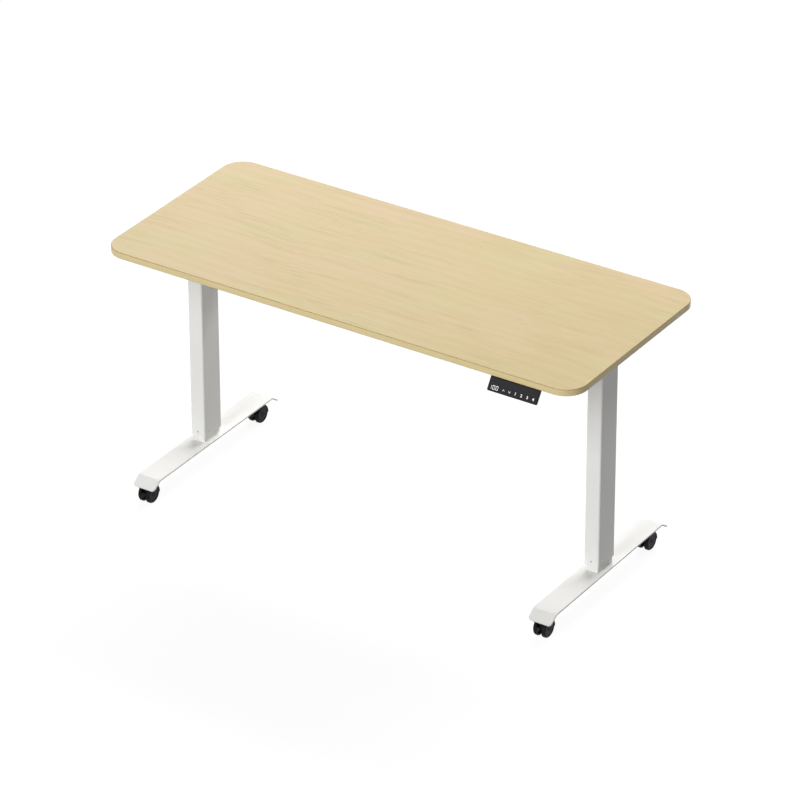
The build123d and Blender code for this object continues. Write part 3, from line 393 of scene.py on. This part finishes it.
@dataclass(frozen=True)
class BacklitPrint:
    """Translucent white ink that the handset's lamps shine through: even, a little dim."""

    name: str
    colour: str
    glow: float
    speckle_mm: float = 0.5

    def material(self) -> bpy.types.Material:
        """Build the print."""
        made, shader, place = blank_material(
            self.name,
            Base_Color=srgb(self.colour),
            Roughness=0.5,
            Emission_Color=srgb(self.colour),
        )
        tree = made.node_tree
        dots = even_noise(tree, place, self.speckle_mm, 1.0)
        strength = add_node(tree, "ShaderNodeMapRange", {0: dots, 3: self.glow * 0.85, 4: self.glow * 1.15})
        tree.links.new(strength.outputs[0], shader.inputs["Emission Strength"])
        return made


FINISHES = {
    "laminate": OakLaminate(),
    "edge_band": EdgeBanding(),
    # The arris takes darker colours than the band's face: painted shade, the dark line where the rounded arris
    # gets less light
    "band_arris": EdgeBanding(name="abs_arris_painted_shade", face="#B39E6C", line="#A58F5F"),
    "powder_white": PowderCoat(),
    "zinc_steel": BareMetal("zinc_plated_steel", "#C9CBCC", "#A9ABAC", 0.32, (6.0, 6.0, 6.0)),
    "bearing_steel": BareMetal("ground_bearing_steel", "#C2C2C1", "#8F8F8E", 0.24, (3.0, 3.0, 0.8)),
    "cast_aluminium": BareMetal("shot_blasted_aluminium", "#B9BABB", "#9A9B9D", 0.55, (1.4, 1.4, 1.4), 0.5),
    "glide_nylon": MouldedPlastic("black_glide_nylon", "#1B1B1C", "#262627", 0.5),
    "nut_acetal": MouldedPlastic("machined_acetal", "#E3E1D8", "#D6D3C8", 0.38, relief=0.08),
    "black_plastic": MouldedPlastic("black_abs", "#1D1E20", "#252628", 0.55, specular=0.3, relief=0.3),
    "caster_black": MouldedPlastic("caster_nylon", "#0B0B0C", "#111112", 0.5, specular=0.12),
    "wheel_black": MouldedPlastic("wheel_nylon", "#0A0A0B", "#101011", 0.45, specular=0.14),
    "tread_black": MouldedPlastic("wheel_tread_urethane", "#0D0D0D", "#151515", 0.65, specular=0.12),
    "handset_black": MouldedPlastic("handset_abs", "#0C0C0D", "#131314", 0.55, specular=0.2, relief=0.3),
    "handset_panel": MouldedPlastic(
        "smoked_panel", "#1F1F23", "#242429", 0.4, grain_mm=2.4, specular=0.25, relief=0.05
    ),
    "handset_key": MouldedPlastic(
        "matte_key_film", "#212125", "#26262B", 0.46, grain_mm=1.2, specular=0.25, relief=0.08
    ),
    "key_print": BacklitPrint("key_print", "#F2F2EF", 0.55),
    "display_print": BacklitPrint("display_digits", "#F4F5F7", 0.6),
}
_MADE: dict[str, bpy.types.Material] = {}


def finish(name: str) -> bpy.types.Material:
    """The material of a finish, built the first time that it is asked for."""
    if name not in _MADE:
        _MADE[name] = FINISHES[name].material()
    return _MADE[name]


def dress(names: Iterable[str], finish_name: str) -> None:
    """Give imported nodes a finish.

    Args:
        names: The nodes.
        finish_name: A key of FINISHES.
    """
    for name in names:
        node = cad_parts[name]
        if not node.material_slots:
            node.data.materials.append(None)
        for slot in node.material_slots:
            slot.material = finish(finish_name)
        LOG.info("node %s: %s", name, finish_name)


# ---------------------------------------------------------------- modelling bench
class Part(Enum):
    """What a selection picks out of a mesh."""

    FACES = "FACE"
    EDGES = "EDGE"


class Bench:
    """One new piece, shaped in edit mode with Blender's own modelling tools."""

    def __init__(self, name: str, finishes: Sequence[str]) -> None:
        """Name the primitive just added, give it its finishes and bake its place into its mesh.

        Args:
            name: The piece's name.
            finishes: The finishes of its material slots, in order.
        """
        self.piece = bpy.context.object
        self.piece.name = name
        self.piece.data.name = name
        for finish_name in finishes:
            self.piece.data.materials.append(finish(finish_name))
        bpy.ops.object.transform_apply(location=True, rotation=True, scale=True)
        bpy.ops.object.mode_set(mode="EDIT")

    @classmethod
    def box(cls, name: str, low: Sequence[float], high: Sequence[float], *finishes: str) -> "Bench":
        """Start from a block.

        Args:
            name: The piece's name.
            low: Lowest corner.
            high: Highest corner.
            *finishes: The finishes of its material slots.

        Returns:
            The bench in edit mode.
        """
        clear_selection()
        middle = (Vector(low) + Vector(high)) / 2
        bpy.ops.mesh.primitive_cube_add(size=1, location=middle, scale=Vector(high) - Vector(low))
        return cls(name, finishes)

    @classmethod
    def rod(
        cls,
        name: str,
        middle: Sequence[float],
        radius: float,
        length: float,
        along: Sequence[float],
        sides: int,
        *finishes: str,
    ) -> "Bench":
        """Start from a round bar.

        Args:
            name: The piece's name.
            middle: Its centre.
            radius: Its radius.
            length: Its length.
            along: The direction of its axis.
            sides: Flats round it.
            *finishes: The finishes of its material slots.

        Returns:
            The bench in edit mode.
        """
        clear_selection()
        turn = Vector((0, 0, 1)).rotation_difference(Vector(along)).to_euler()
        bpy.ops.mesh.primitive_cylinder_add(
            vertices=sides, radius=radius, depth=length, location=middle, rotation=turn
        )
        return cls(name, finishes)

    def pick(self, part: Part, test: Callable[[Any], bool]) -> None:
        """Select only the faces or edges that pass a test.

        Args:
            part: Faces or edges.
            test: Told each BMFace or BMEdge.
        """
        bpy.ops.mesh.select_mode(type=part.value)
        bpy.ops.mesh.select_all(action="DESELECT")
        mesh = bmesh.from_edit_mesh(self.piece.data)
        items = mesh.faces if part is Part.FACES else mesh.edges
        for found in [item for item in items if test(item)]:
            found.select_set(True)
        mesh.select_flush_mode()
        bmesh.update_edit_mesh(self.piece.data)

    def take_off(self, smooth_deg: float) -> bpy.types.Object:
        """Point the faces outwards, leave edit mode and smooth the curved faces.

        Args:
            smooth_deg: Angle under which neighbouring faces are shaded as one.

        Returns:
            The finished piece.
        """
        bpy.ops.mesh.select_all(action="SELECT")
        bpy.ops.mesh.remove_doubles(threshold=1e-6)
        bpy.ops.mesh.normals_make_consistent(inside=False)
        bpy.ops.object.mode_set(mode="OBJECT")
        bpy.ops.object.shade_smooth_by_angle(angle=math.radians(smooth_deg))
        return self.piece


def clear_selection() -> None:
    """Deselect every object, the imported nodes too."""
    bpy.ops.object.select_all(action="DESELECT")


def seat(piece: bpy.types.Object, body: str, slot: str, *replaced: str) -> None:
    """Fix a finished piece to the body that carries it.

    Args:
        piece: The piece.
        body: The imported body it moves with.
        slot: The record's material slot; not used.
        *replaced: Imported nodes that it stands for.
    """
    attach(piece, body)
    if replaced:
        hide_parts(*replaced)
    LOG.info("piece %s on %s: %d faces", piece.name, body, len(piece.data.polygons))


def copy_of(pattern: bpy.types.Object, name: str, where: Matrix) -> bpy.types.Object:
    """Copy a pattern with its own mesh.

    Args:
        pattern: The piece modelled once.
        name: The copy's name.
        where: Where the copy's mesh goes.

    Returns:
        The copy, whose object stays at the origin.
    """
    twin = pattern.copy()
    twin.data = pattern.data.copy()
    twin.name = name
    twin.data.name = name
    twin.data.transform(where)
    if where.determinant() < 0:
        twin.data.flip_normals()
    bpy.context.scene.collection.objects.link(twin)
    return twin


# ---------------------------------------------------------------- sub-assemblies
@dataclass
class Worktop:
    """The board and the strip round its edge."""

    arris: float = 1.4 * MM
    wall: float = 2.0 * MM
    corner: float = 60.0 * MM
    corner_cuts: int = 28

    def build(self) -> None:
        """Dress the board and make the band with its trimmed, rounded arrises."""
        dress(["desktop_board"], "laminate")
        low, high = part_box("desktop_edge_band")
        bench = Bench.box("edge_band_strip", low, high, "edge_band", "band_arris")
        bench.pick(Part.EDGES, self.upright)
        bpy.ops.mesh.bevel(offset=self.corner, segments=self.corner_cuts, profile=0.5, affect="EDGES")
        bench.pick(Part.FACES, lambda face: abs(face.normal.z) > 0.9)
        bpy.ops.mesh.inset(thickness=self.wall, depth=0.0, use_individual=True)
        bpy.ops.mesh.delete(type="FACE")
        bench.pick(Part.EDGES, lambda edge: edge.is_boundary)
        bpy.ops.mesh.bridge_edge_loops()
        bench.pick(Part.EDGES, lambda edge: self.outer_rim(edge, low, high))
        # The rounded arrises take the second slot, whose darker colour is painted shade
        bpy.ops.mesh.bevel(offset=self.arris, segments=4, profile=0.5, affect="EDGES", material=1)
        strip = bench.take_off(40.0)
        seat(strip, "lifting_frame", "edge_band", "desktop_edge_band")

    def upright(self, edge: Any) -> bool:
        """Whether an edge runs from the band's lower side to its upper one."""
        return abs(edge.verts[0].co.z - edge.verts[1].co.z) > self.wall

    def outer_rim(self, edge: Any, low: Vector, high: Vector) -> bool:
        """Whether an edge borders the band's upper or lower side on its outer outline.

        Args:
            edge: The BMEdge.
            low: The band's lowest corner.
            high: The band's highest corner.

        Returns:
            True on the outer outline.
        """
        if self.upright(edge) or not any(abs(face.normal.z) > 0.9 for face in edge.link_faces):
            return False
        middle = (edge.verts[0].co + edge.verts[1].co) / 2
        reach = (high - low) / 2
        away = middle - (low + high) / 2
        over_x = max(abs(away.x) - (reach.x - self.corner), 0.0)
        over_y = max(abs(away.y) - (reach.y - self.corner), 0.0)
        return math.hypot(over_x, over_y) > self.corner - self.wall / 2


@dataclass
class GlideScrews:
    """Button-head screws with a hexagon socket, low on the four sides of each column."""

    head: float = 2.6 * MM
    height: float = 0.7 * MM
    socket: float = 1.3 * MM
    socket_depth: float = 0.5 * MM
    side_offset: float = 20.5 * MM  # screws on a column's sides, in front of its middle

    def pattern(self) -> bpy.types.Object:
        """Model one screw head with its socket, standing on the origin along +Z."""
        middle = (0, 0, self.height / 2)
        bench = Bench.rod("screw_pattern", middle, self.head, self.height, (0, 0, 1), 24, "zinc_steel")
        bench.pick(Part.EDGES, lambda edge: min(v.co.z for v in edge.verts) > self.height * 0.9)
        bpy.ops.mesh.bevel(offset=self.height * 0.6, segments=3, profile=0.5, affect="EDGES")
        bench.pick(Part.FACES, lambda face: face.normal.z > 0.9 and face.calc_area() > self.head**2)
        bpy.ops.mesh.inset(thickness=self.head - self.height * 0.6 - self.socket)
        bpy.ops.mesh.extrude_region_move(TRANSFORM_OT_translate={"value": (0, 0, -self.socket_depth)})
        return bench.take_off(35.0)

    def build(self) -> None:
        """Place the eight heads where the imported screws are."""
        pattern = self.pattern()
        low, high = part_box("glide_screws")
        tube_low, tube_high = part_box("left_inner_column")
        middle_y = (tube_low.y + tube_high.y) / 2
        middle_z = (low.z + high.z) / 2
        heads = []
        for side in (-1, 1):
            x = side * (tube_high.x + tube_low.x) / -2
            half_x = high.x - abs(x) - self.height
            half_y = high.y - middle_y - self.height
            for index, (at, out) in enumerate(
                (
                    ((x, middle_y - half_y), (0, -1)),
                    ((x, middle_y + half_y), (0, 1)),
                    ((x + half_x, middle_y - self.side_offset), (1, 0)),
                    ((x - half_x, middle_y - self.side_offset), (-1, 0)),
                )
            ):
                turn = Vector((0, 0, 1)).rotation_difference(Vector((*out, 0))).to_matrix().to_4x4()
                where = Matrix.Translation((*at, middle_z)) @ turn
                name = f"{'left' if side < 0 else 'right'}_glide_screw_{index + 1}"
                heads.append(copy_of(pattern, name, where))
        bpy.data.objects.remove(pattern)
        for number, piece in enumerate(heads):
            seat(piece, "lifting_frame", "zinc_steel", *(["glide_screws"] if number == 0 else []))


@dataclass
class Leg:
    """One column with its drive, its foot and the bracket that it carries."""

    side: str

    def build(self) -> None:
        """Dress everything on this side."""
        for names, finish_name in (
            (("side_bracket", "outer_column", "inner_column", "foot_plate"), "powder_white"),
            (("lower_glide", "upper_glide"), "glide_nylon"),
            (("gearbox",), "cast_aluminium"),
            (("motor", "foot_bolts", "caster_stems"), "zinc_steel"),
            (("spindle",), "bearing_steel"),
            (("spindle_nut",), "nut_acetal"),
        ):
            dress([f"{self.side}_{name}" for name in names], finish_name)


class Underframe:
    """Rails, bolts and the drive's small parts that both columns share."""

    def build(self) -> None:
        """Dress the shared parts."""
        dress(["front_rail", "rear_rail"], "powder_white")
        dress(["frame_bolts", "desktop_screws"], "zinc_steel")
        dress(["spindle_bearings"], "bearing_steel")
        dress(["motor_caps"], "black_plastic")


@dataclass
class CasterWheel:
    """Twin-caster wheel: a domed nylon disc with a softer tread and a capped hub."""

    shoulder: float = 5.0 * MM
    step: float = 0.8 * MM
    rim: float = 1.6 * MM
    cap: float = 6.5 * MM
    inner_set_back: float = 1.0 * MM  # the inner rim stops short of the hub's end
    inner_rim: float = 4.0 * MM
    hollow: float = 4.4 * MM  # depth of the hollow in the inner side
    hub: float = 4.6 * MM  # the hub's length out of the hollow
    sides: int = 72

    def pattern(self) -> tuple[bpy.types.Object, Vector]:
        """Model the right-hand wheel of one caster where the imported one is.

        Returns:
            The wheel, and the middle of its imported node.
        """
        low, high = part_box("front_left_wheel_right")
        middle = (low + high) / 2
        radius = (high.z - low.z) / 2
        thick = high.x - low.x - self.inner_set_back
        start = middle + Vector((self.inner_set_back / 2, 0, 0))
        finishes = ("wheel_black", "tread_black")
        bench = Bench.rod("wheel_pattern", start, radius, thick, (1, 0, 0), self.sides, *finishes)
        bench.pick(Part.FACES, lambda face: abs(face.normal.x) < 0.5)
        for face in bmesh.from_edit_mesh(bench.piece.data).faces:
            face.material_index = 1 if face.select else 0
        outer = high.x
        bench.pick(Part.EDGES, lambda edge: min(v.co.x for v in edge.verts) > outer - self.step / 4)
        bpy.ops.mesh.bevel(offset=self.shoulder, segments=7, profile=0.5, affect="EDGES", material=0)
        bench.pick(Part.FACES, lambda face: face.normal.x > 0.99 and len(face.verts) > 8)
        bpy.ops.mesh.inset(thickness=self.rim)
        bpy.ops.mesh.extrude_region_move(TRANSFORM_OT_translate={"value": (-self.step, 0, 0)})
        bpy.ops.mesh.inset(thickness=self.step / 2)
        bpy.ops.mesh.inset(thickness=radius - self.shoulder - self.rim - self.step / 2 - self.cap)
        bpy.ops.mesh.extrude_region_move(TRANSFORM_OT_translate={"value": (self.step, 0, 0)})
        bpy.ops.mesh.inset(thickness=self.step)
        bpy.ops.mesh.extrude_region_move(TRANSFORM_OT_translate={"value": (-self.step * 0.6, 0, 0)})
        bpy.ops.mesh.inset(thickness=self.cap * 0.45)
        bpy.ops.mesh.extrude_region_move(TRANSFORM_OT_translate={"value": (self.step * 0.5, 0, 0)})
        bench.pick(Part.FACES, lambda face: face.normal.x < -0.99 and len(face.verts) > 8)
        bpy.ops.mesh.inset(thickness=self.inner_rim)
        bpy.ops.mesh.extrude_region_move(TRANSFORM_OT_translate={"value": (self.hollow, 0, 0)})
        bpy.ops.mesh.inset(thickness=radius - self.inner_rim - self.cap)
        bpy.ops.mesh.extrude_region_move(TRANSFORM_OT_translate={"value": (-self.hub, 0, 0)})
        wheel = bench.take_off(32.0)
        return wheel, middle

    def build(self) -> None:
        """Put a wheel on each side of each caster."""
        pattern, middle = self.pattern()
        for corner in CORNERS:
            for hand in ("left", "right"):
                node = f"{corner}_wheel_{hand}"
                low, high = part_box(node)
                flip = Matrix.Diagonal((1 if hand == "right" else -1, 1, 1, 1))
                where = Matrix.Translation((low + high) / 2) @ flip @ Matrix.Translation(-middle)
                wheel = copy_of(pattern, f"{node}_moulding", where)
                seat(wheel, node, "wheel_black", node)
        bpy.data.objects.remove(pattern)


class Caster:
    """Hoods and axles of the casters."""

    def build(self) -> None:
        """Dress the hoods and axles."""
        dress([f"{corner}_caster_hood" for corner in CORNERS], "caster_black")
        dress([f"{corner}_caster_axle" for corner in CORNERS], "bearing_steel")


@dataclass
class Handset:
    """Wedge-shaped control under the front edge: display, two arrows and four memory keys."""

    tilt_deg: float = 33.7
    print_height: float = 0.12 * MM
    digit_height: float = 9.8 * MM
    key_digit: float = 7.2 * MM
    arrow: float = 2.5 * MM
    display_text: str = "100"
    rim_depth: float = 0.05 * MM  # points this near the highest one belong to a face's rim
    display_inset: float = 16.9 * MM  # housing's left end to the middle of the display
    display_sink: float = 0.4 * MM  # the segments' foot behind the panel's face
    lit: dict[str, str] = field(default_factory=lambda: {"1": "bc", "0": "abcdef"})

    def face(self, node: str) -> Matrix:
        """Frame on the sloped face over a key or the panel.

        Args:
            node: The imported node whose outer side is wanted.

        Returns:
            A matrix with +X to the right, +Y up the slope and +Z out of the face.
        """
        tilt = math.radians(self.tilt_deg)
        out = Vector((0, -math.cos(tilt), math.sin(tilt)))
        slope = Vector((0, math.sin(tilt), math.cos(tilt)))
        points = [vertex.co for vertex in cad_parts[node].data.vertices]
        top = max(point.dot(out) for point in points)
        rims = [point for point in points if point.dot(out) > top - self.rim_depth]
        middle_x = (min(p.x for p in rims) + max(p.x for p in rims)) / 2
        along = (min(p.dot(slope) for p in rims) + max(p.dot(slope) for p in rims)) / 2
        matrix = Matrix((Vector((1, 0, 0)), slope, out)).transposed().to_4x4()
        matrix.translation = Vector((middle_x, 0, 0)) + slope * along + out * top
        return matrix

    def glyph(self, name: str, text: str, height: float, seat_on: Matrix, body: str) -> None:
        """Print a digit as a thin raised shape.

        Args:
            name: The piece's name.
            text: The digit.
            height: Its height.
            seat_on: Frame of the face under it.
            body: The body that carries it.
        """
        clear_selection()
        bpy.ops.object.text_add()
        letters = bpy.context.object
        letters.data.body = text
        letters.data.size = height / 0.7
        letters.data.align_x = "CENTER"
        letters.data.align_y = "CENTER"
        letters.data.extrude = self.print_height / 2
        letters.data.offset = height * 0.012
        bpy.ops.object.convert(target="MESH")
        piece = bpy.context.object
        piece.name = name
        piece.data.name = name
        piece.data.transform(seat_on @ Matrix.Translation((0, 0, self.print_height / 2)))
        piece.data.materials.clear()
        piece.data.materials.append(finish("key_print"))
        seat(piece, body, "handset_panel")

    def arrow_mark(self, name: str, up: int, seat_on: Matrix, body: str) -> None:
        """Print an open arrow head.

        Args:
            name: The piece's name.
            up: 1 for up, -1 for down.
            seat_on: Frame of the face under it.
            body: The body that carries it.
        """
        size = self.arrow
        half = size * 0.28
        bench = Bench.box(name, (-size, -half, 0), (size, half, self.print_height), "key_print")
        bpy.ops.mesh.select_all(action="SELECT")
        bpy.ops.mesh.subdivide(number_cuts=1)
        bench.pick(Part.EDGES, lambda edge: all(abs(v.co.x) < size * 0.1 for v in edge.verts))
        bpy.ops.transform.translate(value=(0, up * size * 1.5, 0))
        piece = bench.take_off(20.0)
        piece.data.transform(seat_on @ Matrix.Translation((0, -up * size * 0.75, 0)))
        seat(piece, body, "handset_panel")

    def segments(self, seat_on: Matrix) -> None:
        """Lay the display's lit segments.

        Args:
            seat_on: Frame at the middle of the display window.
        """
        height = self.digit_height
        width = height * 0.52
        stroke = height * 0.1
        places = {
            "a": ((0, height / 2), 0),
            "d": ((0, -height / 2), 0),
            "b": ((width / 2, height / 4), 1),
            "c": ((width / 2, -height / 4), 1),
            "f": ((-width / 2, height / 4), 1),
            "e": ((-width / 2, -height / 4), 1),
        }
        long_half = height / 4 - stroke * 0.15
        high = (long_half, stroke / 2, self.print_height)
        bench = Bench.box("segment_pattern", (-long_half, -stroke / 2, 0), high, "display_print")
        rise = self.print_height / 2
        bench.pick(Part.EDGES, lambda edge: abs(edge.verts[0].co.z - edge.verts[1].co.z) > rise)
        bpy.ops.mesh.bevel(offset=stroke * 0.45, segments=1, affect="EDGES")
        pattern = bench.take_off(20.0)
        pitch = width * 1.75
        for index, digit in enumerate(self.display_text):
            shift = (index - (len(self.display_text) - 1) / 2) * pitch
            for letter in self.lit[digit]:
                (x, y), turned = places[letter]
                turn = Matrix.Rotation(math.pi / 2 * turned, 4, "Z")
                squeeze = Matrix.Diagonal((1 if turned else width / (height / 2), 1, 1, 1))
                where = seat_on @ Matrix.Translation((shift + x, y, 0)) @ turn @ squeeze
                piece = copy_of(pattern, f"display_{index + 1}_{letter}", where)
                seat(piece, "lifting_frame", "handset_panel")
        bpy.data.objects.remove(pattern)

    def build(self) -> None:
        """Dress the housing, panel and keys, and print the marks."""
        dress(["handset_body"], "handset_black")
        dress(["handset_face"], "handset_panel")
        dress([f"key_{name}" for name in ("up", "down", "1", "2", "3", "4")], "handset_key")
        self.arrow_mark("mark_up", 1, self.face("key_up"), "key_up")
        self.arrow_mark("mark_down", -1, self.face("key_down"), "key_down")
        for digit in "1234":
            key = f"key_{digit}"
            self.glyph(f"mark_{digit}", digit, self.key_digit, self.face(key), key)
        panel = self.face("handset_face")
        window = panel.copy()
        row = self.face("key_up").translation
        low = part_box("handset_body")[0]
        slope = panel.col[1].to_3d()
        window.translation = (
            panel.translation
            + Vector((low.x + self.display_inset - panel.translation.x, 0, 0))
            + slope * (row - panel.translation).dot(slope)
            - panel.col[2].to_3d() * self.display_sink
        )
        self.segments(window)


class ControlBox:
    """The electronics' box between the rails."""

    def build(self) -> None:
        """Dress the plate, the cover and the sockets."""
        dress(["control_box_plate"], "zinc_steel")
        dress(["control_box_cover", "control_box_sockets"], "black_plastic")


# ---------------------------------------------------------------- studio
@dataclass(frozen=True)
class Lamp:
    """A soft panel lamp aimed at the middle of the desk."""

    name: str
    place: tuple[float, float, float]
    size: tuple[float, float]
    watts: float
    glare: bool  # whether satin surfaces mirror the panel


@dataclass
class Studio:
    """White sweep, soft lamps and the camera."""

    aim: Vector = field(default_factory=lambda: Vector((0.0, 0.0, 0.45)))
    lamps: tuple[Lamp, ...] = (
        Lamp("back_lamp", (-0.8, 5.8, 6.1), (9.0, 1.6), 890.0, False),
        Lamp("front_lamp", (0.4, -11.5, 3.5), (4.0, 4.0), 500.0, True),
        Lamp("fill_lamp", (-0.6, -8.0, 6.0), (4.0, 4.0), 350.0, False),
    )
    floor_albedo: float = 0.39
    floor_lift: float = 0.93
    floor_catch: float = 0.12
    floor_fade: tuple[float, float] = (2.0, 3.6)  # beyond this the floor is as white as the backdrop
    camera_place: tuple[float, float, float] = (6.0021, -9.1676, 6.5688)
    azimuth_deg: float = 33.16
    elevation_deg: float = 29.515
    roll_deg: float = -0.127
    lens_mm: float = 222.807

    def build(self) -> None:
        """Set the camera, the light and the floor."""
        self.make_camera()
        self.make_world()
        self.make_lamps()
        self.make_floor()
        bpy.context.scene.view_settings.view_transform = "Standard"

    def make_camera(self) -> None:
        """Place the camera by its two angles and its roll."""
        turn, rise, roll = (math.radians(v) for v in (self.azimuth_deg, self.elevation_deg, self.roll_deg))
        back = Vector((math.sin(turn) * math.cos(rise), -math.cos(turn) * math.cos(rise), math.sin(rise)))
        right = Vector((math.cos(turn), math.sin(turn), 0.0))
        up = back.cross(right)
        rolled_right = right * math.cos(roll) + up * math.sin(roll)
        rolled_up = up * math.cos(roll) - right * math.sin(roll)
        data = bpy.data.cameras.new("camera")
        data.lens = self.lens_mm
        data.sensor_width = 36.0
        data.clip_end = 100.0
        camera = bpy.data.objects.new("camera", data)
        bpy.context.scene.collection.objects.link(camera)
        pose = Matrix((rolled_right, rolled_up, back)).transposed().to_4x4()
        pose.translation = Vector(self.camera_place)
        camera.matrix_world = pose
        bpy.context.scene.camera = camera

    def seen_directly(self, tree: bpy.types.NodeTree) -> Any:
        """Share of a ray that shows the plain background: camera, gloss and transmission rays.

        Args:
            tree: The tree that needs it.

        Returns:
            The socket, 1 on such rays.
        """
        path = add_node(tree, "ShaderNodeLightPath")
        either = add_node(
            tree,
            "ShaderNodeMath",
            {0: path.outputs["Is Camera Ray"], 1: path.outputs["Is Glossy Ray"]},
            operation="MAXIMUM",
        )
        return add_node(
            tree,
            "ShaderNodeMath",
            {0: either.outputs[0], 1: path.outputs["Is Transmission Ray"]},
            operation="MAXIMUM",
        ).outputs[0]

    def make_world(self) -> None:
        """White where the camera looks past the floor, and no light for the desk."""
        world = bpy.data.worlds.new("studio")
        bpy.context.scene.world = world
        world.use_nodes = True
        tree = world.node_tree
        tree.nodes.clear()
        dark = add_node(tree, "ShaderNodeBackground", {"Color": (0, 0, 0, 1), "Strength": 0.0})
        white = add_node(tree, "ShaderNodeBackground", {"Color": (1, 1, 1, 1), "Strength": 1.0})
        mixed = add_node(
            tree, "ShaderNodeMixShader", {0: self.seen_directly(tree), 1: dark.outputs[0], 2: white.outputs[0]}
        )
        add_node(tree, "ShaderNodeOutputWorld", {"Surface": mixed.outputs[0]})

    def make_lamps(self) -> None:
        """Hang the lamps."""
        for lamp in self.lamps:
            data = bpy.data.lights.new(lamp.name, "AREA")
            data.energy = lamp.watts
            data.shape = "RECTANGLE"
            data.size, data.size_y = lamp.size
            light = bpy.data.objects.new(lamp.name, data)
            bpy.context.scene.collection.objects.link(light)
            light.visible_glossy = lamp.glare
            light.location = lamp.place
            light.rotation_euler = (self.aim - Vector(lamp.place)).to_track_quat("-Z", "Y").to_euler()

    def make_floor(self) -> None:
        """Lay a white floor that shows only the desk's soft shadow and runs into the backdrop."""
        clear_selection()
        bpy.ops.mesh.primitive_plane_add(size=60.0, location=(0, 0, 0))
        floor = bpy.context.object
        floor.name = "studio_floor"
        material = bpy.data.materials.new("matte_white_floor")
        material.use_nodes = True
        tree = material.node_tree
        tree.nodes.clear()
        paint = add_node(tree, "ShaderNodeBsdfDiffuse", {"Color": (self.floor_albedo,) * 3 + (1,)})
        faint = add_node(tree, "ShaderNodeBsdfDiffuse", {"Color": (self.floor_catch,) * 3 + (1,)})
        lift = add_node(tree, "ShaderNodeEmission", {"Color": (1, 1, 1, 1), "Strength": self.floor_lift})
        near = add_node(tree, "ShaderNodeAddShader", {0: faint.outputs[0], 1: lift.outputs[0]})
        white = add_node(tree, "ShaderNodeEmission", {"Color": (1, 1, 1, 1), "Strength": 1.0})
        place = add_node(tree, "ShaderNodeTexCoord").outputs["Object"]
        reach = add_node(tree, "ShaderNodeVectorMath", {0: place}, operation="LENGTH").outputs["Value"]
        start, end = self.floor_fade
        fade = add_node(tree, "ShaderNodeMapRange", {0: reach, 1: start, 2: end})
        shown = add_node(
            tree, "ShaderNodeMixShader", {0: fade.outputs[0], 1: near.outputs[0], 2: white.outputs[0]}
        )
        mixed = add_node(
            tree, "ShaderNodeMixShader", {0: self.seen_directly(tree), 1: paint.outputs[0], 2: shown.outputs[0]}
        )
        add_node(tree, "ShaderNodeOutputMaterial", {"Surface": mixed.outputs[0]})
        floor.data.materials.append(material)


def main() -> None:
    """Build the studio and every sub-assembly."""
    logging.basicConfig(level=logging.INFO, format="%(name)s: %(message)s")
    Studio().build()
    Worktop().build()
    for side in ("left", "right"):
        Leg(side).build()
    Underframe().build()
    GlideScrews().build()
    Caster().build()
    CasterWheel().build()
    Handset().build()
    ControlBox().build()


if __name__ == "__main__":
    main()
